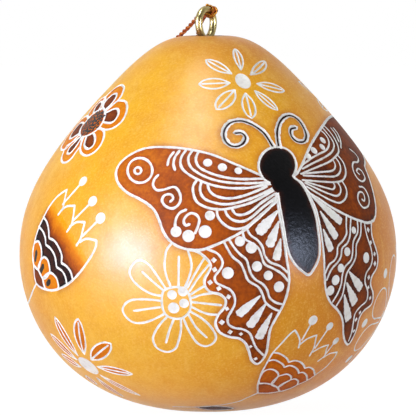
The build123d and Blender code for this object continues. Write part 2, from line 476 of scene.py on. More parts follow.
# The butterfly's wings, in pixels of the photograph. A dot or a chip is its middle and its
# radius, and a drop is its thin end, its broad end and its width.
LEFT_FOREWING = [
    (277, 186), (270, 181), (259.4, 174.8), (236, 164.5), (213, 154.9), (200, 151.5),
    (184.6, 148.6), (167.4, 147.2), (153, 147.2), (142.1, 149.2), (133, 153.2), (124.4, 158.9),
    (118.6, 165.3), (116, 172.1), (116.9, 180.2), (120.9, 187), (128.4, 193.4), (138.7, 198.6),
    (147.5, 204), (154, 210), (159, 220), (163, 231), (169, 240), (177.5, 246.2), (190, 249.8),
    (201.5, 249.8), (213, 246), (224.5, 241), (236, 235.2), (246, 229), (253.5, 222.5), (262, 215),
    (270, 207), (275, 200),
]
LEFT_HINDWING = [
    (190, 250), (197, 251.4), (204.4, 256.7), (209.7, 262.7), (210.7, 267.4), (208.7, 271.7),
    (204.7, 279.1), (204.9, 285.8), (210, 291.8), (220.1, 294.5), (225.5, 299.8), (224.8, 306.5),
    (218.1, 315.2), (215.4, 323.3), (219.4, 332), (228.8, 336.7), (239.5, 338.7), (245.5, 343.4),
    (248.9, 351.4), (251.6, 360.1), (256.9, 364.1), (262.3, 360.1), (266.3, 352.7), (268.3, 340.7),
    (270.3, 329.3), (275.7, 318.6), (283.1, 305.2), (287.1, 293.8), (289.1, 281.7), (288.6, 271),
    (286.8, 260), (284.1, 240), (281.4, 225), (278.5, 208), (276.5, 192),
]
LEFT_HIND_BORDER = [
    (207, 249), (217.8, 254), (222.5, 261.4), (222, 266), (219.4, 270.4), (214.7, 277.1),
    (216.1, 282.4), (222.1, 285.8), (230.1, 289.8), (234.2, 295.8), (234.8, 303.8), (230.8, 311.9),
    (227.5, 318.6), (228.8, 324.6), (234.8, 328), (242.9, 329.3), (249.6, 333.3), (252.9, 340.7),
    (256.3, 348), (263.6, 355.4),
]
LEFT_HIND_BANDS = [
    [(246.6, 228.6), (250.6, 235.3), (257.3, 240), (262.6, 247.3), (264.7, 255.4), (270, 262.1),
     (280.1, 266.1), (287.5, 272.5)],
    [(242.6, 232), (244.6, 238.6), (251.9, 243.3), (258.6, 248.7), (261.3, 255.4), (264.7, 264.1),
     (272.7, 268.3), (281.7, 273.7), (288, 281)],
    [(223.5, 241), (227.8, 249.3), (232.5, 256.7), (240.5, 263.4), (244.4, 271.4), (248.2, 280.4),
     (258.3, 287.1), (262.3, 293.8), (265.6, 302.5), (272.3, 307.9), (279.7, 311.2)],
    [(228.5, 239), (234.5, 248), (240.5, 254.7), (246.2, 259.5), (248.7, 267), (250.9, 273.7),
     (254.9, 279.1), (263, 284.4), (267, 289.8), (269.7, 297.8), (275.7, 302.5), (283, 304.5)],
]
LEFT_HIND_DOTS = [
    (239.9, 241.3, 5), (251.3, 247.7, 5.6), (257, 266.4, 5.1), (268.3, 275.5, 4.7),
    (279, 286.8, 5.4), (227.8, 273, 5.8),
]
LEFT_HIND_DROPS = [
    ((277.4, 211), (257.8, 233.6), 10.2), ((278.9, 221.5), (268.8, 247), 9),
    ((280.6, 239), (276, 260.5), 8), ((260, 296), (237.4, 315.6), 8.8),
    ((265.6, 304), (248.6, 327.6), 9), ((271.6, 313.4), (258, 339.6), 8.8),
]
LEFT_HIND_CHIPS = [
    (213.8, 260.1, 3), (214.6, 269.6, 2.9), (210, 282.4, 2.9), (218.8, 288.4, 2.8),
    (228.5, 296.8, 2.8), (227, 308.8, 2.4), (221.8, 322.3, 3.2), (230.1, 332, 2.8),
    (240.9, 334, 2.2), (250.6, 346.6, 2), (255.6, 358.8, 2.4),
]
LEFT_FORE_LINES = [
    [(185.8, 150.4), (181.8, 156.1), (180.3, 162.4), (182.3, 168.7), (189.6, 175), (201.5, 181.2),
     (213, 185.2), (224.5, 187.5), (236, 188.3), (250, 187.7), (262, 185.3), (272, 183.5)],
    [(192, 151), (188.6, 156.6), (188.6, 162.4), (191, 167.4), (198, 173), (209.2, 178.3),
     (220.7, 181.4), (232.1, 182.9), (250, 183.3), (268, 182.3)],
    [(198.3, 152), (196.1, 157), (196.1, 161.8), (198.6, 166.6), (205.3, 170.9), (216.8, 175.3),
     (228.3, 177.9), (239.8, 179.1), (252, 179), (265.5, 178.4)],
    [(196.6, 180.4), (193.2, 186), (193.1, 192), (196.5, 201.5), (205.3, 206.9), (214.9, 209.2),
     (224.5, 209.2), (236, 206.9), (250, 203), (263, 196.5), (275.5, 189)],
    [(201.4, 182), (200, 187.9), (201.2, 194.4), (205.2, 199.2), (213, 202.3), (222.6, 204.2),
     (232.1, 203.8), (241.7, 201.5), (256, 196.5), (276, 186.6)],
    [(207.6, 184.2), (209.2, 190.2), (213.8, 194.8), (222.6, 197.9), (232.1, 198.2), (241.7, 196.3),
     (254, 192), (267, 186.3)],
    [(217, 209.4), (217.2, 214.9), (220.7, 221.1), (226.4, 226), (232.1, 228.6), (239.8, 228.7),
     (247, 226.5), (256, 219), (276, 202)],
    [(224.9, 209.4), (226.8, 214.5), (231.4, 219.1), (237.9, 221.4), (243.6, 221.1), (251, 217.5),
     (262, 208), (275, 198)],
    [(231.4, 208.2), (235.6, 214), (241.7, 214.9), (250, 211.9), (261, 203), (275.5, 193.5)],
]
LEFT_FORE_DOTS = [
    (207.6, 162.6, 4.5), (222.4, 167.2, 4.5), (238.3, 170.7, 3.8), (209.9, 215.5, 4.9),
    (205.1, 231.6, 6.3), (188.4, 236, 6), (176, 231.6, 5.4),
]
LEFT_FORE_CURLS = [
    [(158.2, 175), (154.2, 179.6), (153.1, 185.4), (156.5, 190), (163.4, 189.7), (174.3, 187),
     (178.3, 190.5), (180.6, 197), (179, 204), (172.5, 208.5), (165.4, 206), (162, 200.5),
     (164.5, 195.3), (170.9, 194.5), (173.2, 198.3), (170.3, 201.6)],
    [(186, 209.8), (179.5, 213), (175.6, 220), (175, 228.5)],
    [(195, 233.3), (198, 226), (199.2, 219.5), (196.5, 215), (191, 213.2), (186, 216.2),
     (183.6, 221.3), (185.6, 225.3), (189.4, 224.2)],
    [(173.7, 152.1), (169.1, 158.4), (167.4, 165.3)],
    [(179.5, 150.6), (174.9, 157.2), (173.4, 164.1), (174.9, 169.9)],
]
LEFT_EYE_SPOTS = [((139.9, 170.4), 12.4), ((137.8, 170.7), 3.4)]
EYE_SPOT_POINTS = 10

RIGHT_FOREWING_INNER = [
    (373.6, 220.6), (368, 222.8), (362.1, 221.4), (354.7, 219), (343.1, 213.6), (329.8, 206.2),
    (319, 198.9), (309, 192.5), (301.5, 182.5), (295.4, 179), (294, 176.4), (297, 173),
    (300.8, 167.2), (306.6, 153.9), (311, 144.5), (318.2, 132.4), (323.2, 124.9), (328.2, 118.4),
    (332.3, 115.8),
]
# Past the gourd's edge: degrees round to the right, and height
RIGHT_FOREWING_TIP = [(86, 0.0662), (91, 0.0652), (94, 0.0625), (91.5, 0.0594), (86, 0.0573)]
RIGHT_FOREWING_OUTER = [
    (364.6, 166.4), (369.6, 179.6), (373.8, 194.6), (375.8, 207), (375.6, 215.5),
]
RIGHT_FORE_LINES = [
    [(323.6, 125.3), (329, 130.7), (334.8, 139), (338.1, 146.5), (338.5, 152.3), (335.6, 156.4),
     (329.8, 161.4), (319.9, 165.9), (310.7, 169.7), (301.6, 173.8)],
    [(321.9, 127), (326.5, 132.4), (331.5, 139), (334, 144.8), (332.7, 150.6), (329.8, 153.9),
     (323.2, 158.1), (313.2, 163), (302.4, 168.8)],
    [(320.3, 129.9), (324.8, 134), (328.1, 139), (329, 144), (326.5, 149.8), (319, 153.9),
     (311.6, 158.1), (302.4, 164.7)],
    [(338.1, 155.6), (343.1, 162.2), (345.6, 169.7), (345.1, 176.3), (342.2, 180.5), (334.8, 182.1),
     (323.2, 181.7), (302.4, 180)],
    [(335.6, 157.7), (339.3, 163), (340.6, 168.9), (338.9, 173.8), (334.8, 176.3), (323.2, 176.3),
     (303.3, 175.5)],
    [(333.1, 160.1), (335.2, 164.7), (334.4, 168.9), (331.5, 170.9), (323.2, 171.8),
     (300.8, 173.8)],
    [(342.2, 181.3), (345.6, 187.1), (346.8, 192.9), (344.7, 199.5), (339.8, 202.8), (333.1, 201.2),
     (321.5, 195.4), (306.6, 186.3)],
    [(338.1, 182.9), (340.6, 187.9), (340.2, 192.9), (337.3, 195.8), (329.8, 194.1), (317.4, 188.8),
     (304.9, 182.9)],
    [(333.1, 182.5), (334.8, 185.8), (333.1, 189.2), (328.1, 188.3), (316.5, 185), (305.8, 181.7)],
]
RIGHT_FORE_CURLS = [
    [(349.7, 148.9), (355.5, 153.9), (358.4, 158.9), (357.6, 162), (353.4, 162.4), (352.6, 167.2),
     (354.7, 173.8), (358.8, 179.6), (362.6, 181.4), (365, 178.8), (363.8, 174.6), (361.3, 170.5),
     (358, 168.6), (356.6, 171.3), (359.4, 174.4)],
    [(359.3, 186.6), (363, 187.2), (366.7, 192), (369.2, 200.4), (368, 206.2), (363.8, 207.8),
     (359.9, 203.7), (357.8, 197.9), (359, 192.4), (362.1, 192.2), (364.6, 197), (364.2, 201),
     (362, 199.4)],
    [(331, 128), (335.5, 134), (338.8, 141.5)],
    [(333.4, 127.8), (338, 134), (340.6, 141), (341, 148)],
]
RIGHT_FORE_DOTS = [(322.8, 140.2, 3.9), (322.3, 146.9, 3.7), (314, 150.4, 4.1), (308.2, 156, 3.7)]

RIGHT_HINDWING = [
    (371.4, 222), (371.4, 230), (372.3, 237), (376.6, 250.8), (377.9, 258.5), (376.6, 268),
    (371.9, 276.6), (370.6, 284), (373.1, 293.8), (371.4, 304.2), (363.7, 311), (359.4, 318),
    (356.8, 328.3), (353.4, 336.9), (348.2, 344.6), (345.6, 342.5), (343.5, 335.2), (343, 323.1),
    (341.3, 316.2), (337, 309.3), (331.8, 304.2), (327.5, 296.4), (325.4, 287), (324.5, 273.2),
    (324.1, 259.4), (322.4, 242.2), (319.8, 225), (315.5, 208), (307.5, 191.5),
]
RIGHT_HIND_BORDER = [
    (364.4, 221.5), (365.2, 228), (367.1, 236.2), (371.2, 249.1), (372.3, 259.4), (370.6, 266.3),
    (366.3, 273.2), (365, 281.8), (367.8, 292.1), (366.3, 301), (360.2, 306.8), (355.1, 313.6),
    (353.4, 322.2), (351.6, 332.6), (348.6, 341),
]
RIGHT_HIND_BANDS = [
    [(346.4, 217), (346.2, 226), (346.5, 233.6), (343, 240.5), (337.9, 246.5), (337, 255.1),
     (334.4, 260.3), (329.3, 264.6), (325.2, 273.2)],
    [(350.8, 219), (350.3, 227), (349.9, 235.3), (347.3, 243.1), (342.2, 248.2), (340.9, 256.8),
     (337.9, 262), (331.8, 268.9), (326.6, 280.1)],
    [(357.4, 221), (357.7, 231.9), (353.4, 241.4), (352.5, 253.4), (350.8, 260.3), (344.8, 267.2),
     (342.2, 275.8), (341.3, 283.5), (337.9, 293), (332.6, 302)],
    [(361, 222), (360.4, 235.3), (356.4, 244.8), (355.9, 256), (353.4, 262.9), (346.9, 273.2),
     (344.8, 283.5), (342.2, 295.6), (336.3, 306)],
]
RIGHT_HIND_DOTS = [
    (353.8, 230.2, 3.6), (347.3, 251.7, 4.4), (340.9, 268, 4.3), (335.7, 280.1, 5.1),
    (330.4, 290.6, 5), (366.3, 257.7, 5.4),
]
RIGHT_HIND_DROPS = [
    ((312, 196.4), (342, 222.5), 8.8), ((320.4, 211.5), (337, 238.5), 8.6),
    ((323.4, 229.5), (331.6, 251.5), 7.8), ((349.4, 272), (361.8, 289.5), 9.2),
    ((346.8, 283), (355.6, 304.5), 9.4), ((344.4, 295), (348.8, 321), 9),
]
RIGHT_HIND_CHIPS = [
    (368.2, 229.8, 3), (370.8, 242.5, 2.4), (374.6, 254, 2.6), (374.9, 263.6, 3),
    (368.8, 277.5, 2.8), (368.2, 287.8, 2.6), (370.2, 298, 2.6), (360, 312.6, 2.4),
    (356, 319.6, 2.6), (353.8, 331, 2.2),
]
# Burnt tones of the wings, from one pixel to another
LEFT_HIND_BURN = ([(206, 283), (240, 288)], 0.25, 0.51)
LEFT_FORE_BURN = ([(118, 172), (262, 205)], 0.26, 0.50)
# The right wing's tones are deeper partly from burning and partly as painted shade, as that side
# turns from the light
RIGHT_HIND_TONE_AND_SHADE = 0.60
RIGHT_FORE_BURN_AND_SHADE = ([(300, 176), (372, 190)], 0.56, 0.66)
# Where the burning went darker or lighter by hand: pixel, reach on the face, change of tone
LEFT_FORE_PATCHES = [
    ((184, 190), 0.0045, 0.07), ((165, 222), 0.0035, 0.05), ((206, 242), 0.0035, -0.12),
]

# The butterfly's body and feelers
BODY_HEAD = (277.4, 165.5)
BODY_HEAD_RADIUS = 17.7
BODY_HEAD_LINE_RADIUS = 18.9
BODY_HEAD_POINTS = 12
FEELER_WIDTH = 6.2
FEELER_CORE = 2.0
# The black of the abdomen is drawn in from its line, towards a middle, by shares across and up
ABDOMEN_MIDDLE = (300, 220)
ABDOMEN_INSET = (0.07, 0.03)
NECK = [(270, 172), (288, 172), (296, 186), (276, 192)]
ABDOMEN = [
    (274.8, 184.6), (277, 189.5), (279.2, 203), (281.8, 217), (284.6, 232.6), (287, 246),
    (290.8, 257.4), (296.8, 266.1), (303, 271.5), (308.6, 275), (314.5, 268), (318.9, 258),
    (319.8, 246), (318.4, 232), (316, 217), (311.4, 203), (304.8, 189), (298.6, 181), (294.5, 178),
    (288, 176), (279, 178),
]
LEFT_FEELER = [
    (274.5, 148.5), (270, 141), (264.7, 133), (257.5, 127), (248, 122), (239.8, 120.2),
    (230, 122.6), (224.4, 130), (224.4, 138), (229.5, 144.4), (236.5, 146), (243.2, 143),
    (245.8, 137), (241.8, 132.4), (235.5, 132.6),
]
RIGHT_FEELER = [
    (279.6, 148), (278, 140), (277.6, 131), (280, 122), (285, 116.3), (291, 115), (297.8, 118.6),
    (303.4, 126), (306.8, 135), (305, 140.6), (300, 141.6), (295, 139.4), (291.2, 134),
    (291.4, 128.6), (296, 127.2),
]

# The flowers. A pointed petal is its base, its tip and its width, the width in millimetres.
# Its side bows out by shares of that width at shares of its length.
MILLIMETRES = 1000
PETAL_SIDE = [(0.0, 0.0), (0.28, 0.80), (0.60, 1.0), (0.88, 0.60), (1.0, 0.0)]
PETAL_VEIN = (0.08, 0.90)
VEIN_POINTS = 12
ROUND_PETAL_SIDE = [(0.0, 0.34), (0.3, 0.66), (0.6, 0.96), (0.82, 0.86), (0.95, 0.5), (1.0, 0.0)]
ROUND_PETAL_VEIN = (0.1, 0.76)
DAISY_HEART = 0.30
DAISY_HEART_POINTS = 24
DAISY_WIDTH = 1.9
DAISY_WIDTH_SHARES = (0.62, 0.72)
DAISY_REACH_SHARES = (0.94, 1.05)
DAISY_SEEDS = 4
DAISY_SEEDS_TURN = 1.1
DAISY_SEEDS_SHARE = 0.17
DAISY_SEED_RADIUS = 0.0011
BEADS_SHARE = 1.04
BEAD_RADIUS = 0.00115
TOP_DAISY_CENTRE = (242.9, 80.7)
TOP_DAISY_HEART = 7.9
TOP_DAISY_HEART_STRETCH = 1.28
TOP_DAISY_PETALS = [
    ((240.9, 69.7), (235, 48.8), 2.3), ((250.6, 74.8), (265.0, 61.2), 2.3),
    ((257, 83.7), (284.2, 90.4), 2.4), ((254.8, 90.7), (277.4, 110), 2.0),
    ((245.4, 93.3), (251.6, 118.3), 2.6), ((234.7, 89.8), (216.4, 109.2), 3.0),
    ((229.8, 82.8), (199, 84), 3.0), ((231.4, 73.6), (206, 59.8), 2.7),
]
CENTRE_DAISY_RING = [
    (163.6, 290.8), (161.8, 301), (163.2, 310), (166.8, 315.6), (175.6, 318.8), (183.6, 317.2),
    (189.2, 311.6), (190.8, 304.4), (189.6, 296.4), (186, 290), (178.8, 287.2), (170.8, 287.6),
]
CENTRE_DAISY_DOTS = [(172, 294.8, 4.8), (182.8, 291.4, 5), (184, 303.3, 4.8), (173.6, 308, 5.7)]
CENTRE_DAISY_LINES = [
    [(170.4, 286), (166.8, 277.3), (164.6, 266.9), (165.2, 255.7), (166.8, 249.4), (170.8, 244.2)],
    [(185.2, 286.4), (189.2, 276.5), (191.4, 266.9), (190.8, 260.5), (188, 251)],
    [(178.4, 286), (178.8, 256.5)],
    [(187.2, 287.6), (191.6, 279.7), (197.9, 268.5), (204.3, 258.1)],
    [(189.6, 290.8), (197.9, 278.1), (208.4, 265)],
    [(190.8, 294.4), (198.7, 289.2), (205, 285.6)],
    [(191.6, 298), (201.1, 294.8), (213, 293)],
    [(191.6, 302), (221.1, 305.2)],
    [(191.6, 306.8), (201.9, 312), (209.9, 314.3), (218.9, 314.7)],
    [(190, 311.4), (201.1, 317.9), (210.7, 326.7), (215.9, 336.3), (214.7, 341.1), (211.5, 344.3),
     (205.1, 346.2), (197.9, 343.5), (191.6, 335.5), (186.8, 326.7), (183.2, 317.9)],
    [(188.4, 314.7), (196.3, 327.5), (206.7, 337.5)],
    [(180.8, 318.7), (180.8, 330.7), (178, 342.7), (175.6, 348.2), (169.2, 351.8), (162.8, 351),
     (156.5, 347.4), (152.9, 338.7), (155.7, 330.7), (161.3, 322.7), (166.8, 317.1)],
    [(173.6, 319.5), (169.2, 330.7), (166, 342.7)],
    [(163.6, 314.3), (153.3, 319.5), (142.9, 322.7), (133.3, 322.3), (126.2, 317.1), (122.6, 310),
     (125.4, 303.6), (131.7, 300), (141.3, 299.2), (150.9, 299.6), (160.5, 300.8)],
    [(159.7, 307.2), (133.7, 310.8)],
    [(162.2, 296), (150.9, 293.6), (140.5, 287.6), (132.5, 279.7), (129.4, 271.7), (132.1, 265.3),
     (137.3, 260.5), (142.1, 260.5), (148.5, 264.5), (154.9, 272.5), (161.3, 282), (166, 289.2)],
    [(162.8, 290), (152.5, 281.3), (142.1, 271.7)],
]
LEAF_FLOWER_CENTRE = (88.3, 366.4)
LEAF_FLOWER_CENTRE_RADIUS = 0.0028
LEAF_FLOWER_TONE = 0.16
LEAF_FLOWER_PETALS = [
    ((77.8, 355.6), (54.9, 317), 2.7), ((84.1, 354.2), (78.1, 318.7), 2.9),
    ((91.2, 359.9), (110.8, 343.5), 3.1), ((97.5, 366.9), (132, 374), 2.3),
    ((100.2, 375), (139.7, 395.4), 2.2), ((96.9, 377.6), (123, 396.4), 2.6),
    ((86.5, 375.5), (95.5, 383.9), 2.6), ((80.8, 366.9), (62, 354.9), 2.6),
    ((76.8, 359.6), (50.7, 334.1), 2.6),
]
BROWN_FLOWER_CENTRE = (92.2, 122.8)
BROWN_FLOWER_TONES = (0.12, 0.62, 0.34)
# Black grains in its middle, placed in a spiral
GRAIN_COUNT = 52
GRAIN_REACH = 0.86
GRAIN_TURN = 2.4
GRAIN_SIDES = 7
GRAIN_STRETCH = 1.7
GRAIN_RADIUS = 0.00030
GRAIN_RADIUS_MORE = 0.00014
GRAIN_LEAN_MOST = 3
BROWN_FLOWER_RING = [
    (103.2, 108.3), (105, 113.8), (103.2, 121.1), (98.3, 128.3), (91.1, 133.8), (82, 136.8),
    (79.8, 134.4), (80.8, 128.3), (86.2, 121.1), (92.3, 114.4), (98.3, 110.2),
]
BROWN_FLOWER_PETALS = [
    [(102.3, 107.4), (103.2, 101.7), (106.2, 96.2), (111.1, 91.4), (116.5, 87.1), (121.4, 85),
     (123.8, 87.1), (123.2, 91.4), (120.2, 97.4), (116.5, 101.7), (111.7, 105.3), (105.4, 110)],
    [(105.4, 111.4), (111.7, 105.9), (116.5, 101.7), (120.8, 100.5), (125.6, 101.7), (127.1, 107.1),
     (125.6, 114.4), (121.4, 121.7), (114.7, 127.1), (108, 129.5), (103.2, 129.5), (98.9, 127.1)],
    [(97.1, 128.9), (100.8, 128.9), (103.8, 131.4), (103.8, 136.8), (101.4, 143.5), (97.1, 149.5),
     (91.7, 153.8), (85.6, 155.6), (81.4, 153.2), (80.2, 149.5), (81.4, 142.9), (83.8, 136.6)],
    [(80.6, 136.8), (71.1, 142.9), (66.2, 146.5), (63.2, 152.6), (61.4, 159.2), (62.6, 162.3),
     (66.2, 162.3), (71.1, 158.6), (75.9, 152), (80.2, 145.9), (82.4, 137.4)],
]
BROWN_FLOWER_HEARTS = [
    [(102.8, 107.6), (104.4, 102.9), (109.2, 97.4), (113.5, 94.1), (116.5, 93.8), (115.9, 97.4),
     (111.7, 103.5), (105.2, 109.6)],
    [(105.4, 112.8), (109.8, 110.8), (114.1, 108.9), (117.4, 108.9), (118.6, 112.6), (116.5, 118),
     (112.3, 122.3), (107.4, 122.9), (102.8, 122)],
    [(86.8, 135.8), (85, 141.1), (84.4, 145.9), (87.4, 148.9), (91.7, 147.1), (94.7, 142.3),
     (94.7, 135.6), (92.7, 132.8)],
    [(79.4, 137.4), (73.5, 143.5), (69.2, 148.3), (67.4, 153.2), (69.2, 153.8), (74.1, 148.9),
     (78.3, 142.9), (81.2, 138)],
]
# The tulips: an outline with its zigzag rim, two scalloped bands, three inner petals and a
# base. The tones are those of the outer band, the inner band, the petals and the base.
LEFT_TULIP_CENTRE = (62, 250)
LEFT_TULIP_TONES = (0.84, 0.87, 0.14, 0.60)
RIGHT_TULIP_TONES = (0.24, 0.32, 0.32, 0.38)
SMOKE_TONE = 0.72
SMOKE_PLACES = 40
SMOKE_ROWS = 9
LEFT_TULIP_SIDE = [
    (36.2, 283.6), (34.5, 277), (33.7, 265.4), (32.9, 252.9), (34.9, 240.5), (38.7, 228),
    (44, 216.4), (49.9, 205.7), (57.3, 196.5), (66.6, 189.7),
]
LEFT_TULIP_RIM = [
    [(66.8, 189.5), (63.9, 203.2), (63.1, 207.3), (58.1, 214.8)],
    [(61.5, 210.6), (66.4, 206.5), (74.7, 205.7)],
    [(74.7, 205.7), (73.1, 217.3), (71.4, 224.7), (66.8, 231.8)],
    [(69.8, 226.4), (76.4, 222.2), (84.7, 222.2)],
    [(84.7, 222.2), (82.2, 232.2), (80.5, 238.8), (76.4, 245.5)],
    [(79.7, 242.1), (86.3, 238.8), (96.3, 240.5)],
    [(96.3, 240.5), (95.9, 246.3), (92.1, 254.6), (86.3, 263.7), (78.9, 273.6), (70.6, 281.9),
     (61.5, 287.7), (53.2, 290.2), (45.7, 289.4), (39.9, 286.9), (36.2, 283.6)],
]
LEFT_TULIP_STAMENS = [
    ((62.6, 204.4), (83, 181.2), 5.3), ((73.1, 220.6), (92.6, 201.1), 5.5),
    ((82.2, 236.3), (100.4, 218.1), 5.8),
]
LEFT_TULIP_BANDS = [
    [[(43.2, 216.8), (46.5, 221.4), (48.6, 229.7), (49, 238)],
     [(49, 238), (54, 240.5), (58.1, 246.3), (61.5, 254.6), (61.5, 262.9)],
     [(61.5, 262.9), (66.4, 266.2), (70.6, 272), (72.7, 279.5)]],
    [[(38.7, 226.4), (42.8, 231.4), (45.3, 238), (45.7, 244.6)],
     [(45.7, 244.6), (50.7, 248.8), (54.8, 256.2), (56.5, 267)],
     [(56.5, 267), (62.3, 271.2), (65.6, 277.8), (66.8, 284.4)]],
]
LEFT_TULIP_PETALS = [
    [(34.3, 243.6), (38.2, 241.3), (40.7, 246.3), (41.6, 252.9), (40.7, 260.4), (38, 269.2),
     (33.9, 265)],
    [(38.2, 268.4), (40.3, 261.2), (44, 257.1), (47.4, 259.6), (49.4, 267), (49.4, 272.8),
     (43.6, 278.6)],
    [(43, 278.6), (46.5, 274.5), (50.7, 272.8), (55.7, 277), (57.7, 281.9), (57.7, 289), (46, 289)],
]
LEFT_TULIP_SLITS = [
    ((36.4, 252), (35.2, 260.5), 5.4), ((43, 266), (40.4, 272), 5.2),
    ((49.6, 281), (47.2, 284.4), 5),
]
LEFT_TULIP_BASE = [(34.1, 265.4), (38.2, 270.3), (42.4, 278.6), (45.3, 288.6)]
LEFT_TULIP_STEM = [(36, 284), (33.4, 289.6), (30.6, 296.8), (27.6, 305)]
LEFT_TULIP_SMOKE = [(52.5, 203), (60, 213), (68, 226), (75.5, 239), (82.5, 251), (88, 260.5)]
RIGHT_TULIP_SIDE = [
    (257.7, 393.1), (257.7, 385.7), (259.4, 379), (261.7, 372.3), (265.1, 366.3), (268.4, 360.2),
    (271.8, 354.2), (275.1, 350.2), (282.5, 342.2), (289.2, 334.8), (294.9, 330.1),
]
RIGHT_TULIP_RIM = [
    [(294.9, 330.1), (297.9, 334.8), (299.9, 340.8), (298.6, 347.8)],
    [(300.2, 344.4), (307.3, 338.8), (316.7, 335.1)],
    [(316.7, 335.1), (315.7, 339.5), (314, 347.5), (309.6, 355.9)],
    [(312.6, 352.2), (320.7, 347.5), (328.4, 344.8)],
    [(328.4, 344.8), (326.4, 349.5), (324.7, 355.5), (318, 361.2)],
    [(323.4, 357.6), (330.1, 353.5), (337.1, 352.2)],
    [(337.1, 352.2), (334.8, 356.9), (326, 366.9), (318, 373), (308, 380), (298.6, 384.3),
     (288.5, 389), (279.8, 391.4), (268.4, 393.1), (257.7, 393.1)],
]
RIGHT_TULIP_STAMENS = [
    ((301.9, 340.1), (313, 320.4), 5.3), ((315, 348.2), (329.7, 326.4), 4.5),
    ((325.4, 354.2), (335.8, 341.1), 4.2),
]
RIGHT_TULIP_BANDS = [
    [[(273.1, 352.9), (277.2, 352.9), (283.2, 355.5), (287.2, 358.9), (288.9, 362.2)],
     [(288.9, 362.2), (294.6, 360.6), (300.6, 362.2), (303.9, 365.6), (304.9, 368.3)],
     [(304.9, 368.3), (309.3, 367.3), (313.3, 369.6), (315, 375)]],
    [[(268.8, 360.9), (273.8, 359.9), (279.8, 362.2), (283.2, 364.9), (284.5, 367.3)],
     [(284.5, 367.3), (289.9, 365.6), (295.9, 367.9), (298.6, 371.6), (298.9, 373.3)],
     [(298.9, 373.3), (302.6, 372.3), (306.3, 375), (307.3, 380)]],
]
RIGHT_TULIP_PETALS = [
    [(261.4, 374.3), (265.8, 370.3), (271.8, 369.3), (276.5, 371.6), (278.5, 375), (275.8, 379.7),
     (271.8, 384), (265.1, 383.3), (259.1, 383.3)],
    [(277.8, 376.8), (282.5, 375), (287.9, 374.3), (291.2, 377), (290.5, 379.7), (284.5, 383.4),
     (278.5, 387), (271.4, 384.2)],
    [(290.8, 379.9), (295.2, 379), (298.2, 381), (297.2, 384.6), (288.5, 389), (280, 391.2),
     (278.5, 387)],
]
RIGHT_TULIP_BASE = [(259.1, 383.3), (265.1, 383.3), (271.1, 384.3), (276.5, 387), (279.8, 391.2)]
RIGHT_TULIP_STEM = [
    (257.2, 393.3), (245, 398.7), (240.5, 400.8), (223.9, 404.5), (206.5, 406.6), (190.7, 407),
    (173.3, 406.6),
]


def pixels_long(pixels):
    """A length in metres from one across the photograph."""
    return pixels * METRES_PER_PIXEL


def circle(centre, radius, count):
    return [
        (centre[0] + radius * math.cos(a), centre[1] + radius * math.sin(a))
        for a in np.arange(count) * 2 * math.pi / count
    ]


def wing_marks(dots, chips=(), drops=()):
    """The pits of one wing."""
    for x, y, size in dots:
        dot((x, y), pixels_long(size))
    for x, y, size in chips:
        dot((x, y), pixels_long(size), sides=4, turn=random.uniform(-CHIP_TURN, CHIP_TURN))
    for apex, base, width in drops:
        taper(apex, base, pixels_long(width))


def left_wing():
    """The hindwing is finished first, and the forewing then covers its root."""
    fill(LEFT_HINDWING, shaded(*LEFT_HIND_BURN))
    stroke(LEFT_HINDWING)
    for line in [LEFT_HIND_BORDER, *LEFT_HIND_BANDS]:
        stroke(line, width=FLOWER_LINE_WIDTH)
    wing_marks(LEFT_HIND_DOTS, LEFT_HIND_CHIPS, LEFT_HIND_DROPS)
    fill(LEFT_FOREWING, patchy(shaded(*LEFT_FORE_BURN), LEFT_FORE_PATCHES))
    stroke(LEFT_FOREWING, closed=True)
    for line in LEFT_FORE_LINES + LEFT_FORE_CURLS:
        stroke(line)
    wing_marks(LEFT_FORE_DOTS)
    for centre, size in LEFT_EYE_SPOTS:
        stroke(circle(centre, size, EYE_SPOT_POINTS), closed=True)


def right_forewing():
    """Its outline on the map. The tip lies past the edge of what the photograph shows."""
    inner = on_map(smooth(RIGHT_FOREWING_INNER))
    outer = on_map(smooth(RIGHT_FOREWING_OUTER))
    tip = [round_back(azimuth, height) for azimuth, height in RIGHT_FOREWING_TIP]
    return np.concatenate([inner, smooth_places([inner[-1], *tip, outer[0]])[1:-1], outer])


def right_wing():
    fill(RIGHT_HINDWING, even(RIGHT_HIND_TONE_AND_SHADE))
    stroke(RIGHT_HINDWING, width=FLOWER_LINE_WIDTH)
    for line in [RIGHT_HIND_BORDER, *RIGHT_HIND_BANDS]:
        stroke(line, width=FINE_LINE_WIDTH)
    wing_marks(RIGHT_HIND_DOTS, RIGHT_HIND_CHIPS, RIGHT_HIND_DROPS)
    fill_places(right_forewing(), "burnt", shaded(*RIGHT_FORE_BURN_AND_SHADE))
    stroke_places(right_forewing(), closed=True)
    for line in RIGHT_FORE_LINES + RIGHT_FORE_CURLS:
        stroke(line, width=FINE_LINE_WIDTH)
    wing_marks(RIGHT_FORE_DOTS)


def body():
    for feeler in (LEFT_FEELER, RIGHT_FEELER):
        stroke(feeler, width=pixels_long(FEELER_WIDTH))
        stroke(feeler, width=pixels_long(FEELER_CORE), tag="black", depth=0)
    stroke(ABDOMEN, closed=True)
    stroke(circle(BODY_HEAD, BODY_HEAD_LINE_RADIUS, BODY_HEAD_POINTS), closed=True)
    (middle_x, middle_y), (inset_x, inset_y) = ABDOMEN_MIDDLE, ABDOMEN_INSET
    drawn_in = [(x + inset_x * (middle_x - x), y + inset_y * (middle_y - y)) for x, y in ABDOMEN]
    fill(drawn_in, tag="black")
    fill(circle(BODY_HEAD, BODY_HEAD_RADIUS, BODY_HEAD_POINTS), tag="black")
    fill(NECK, tag="black")


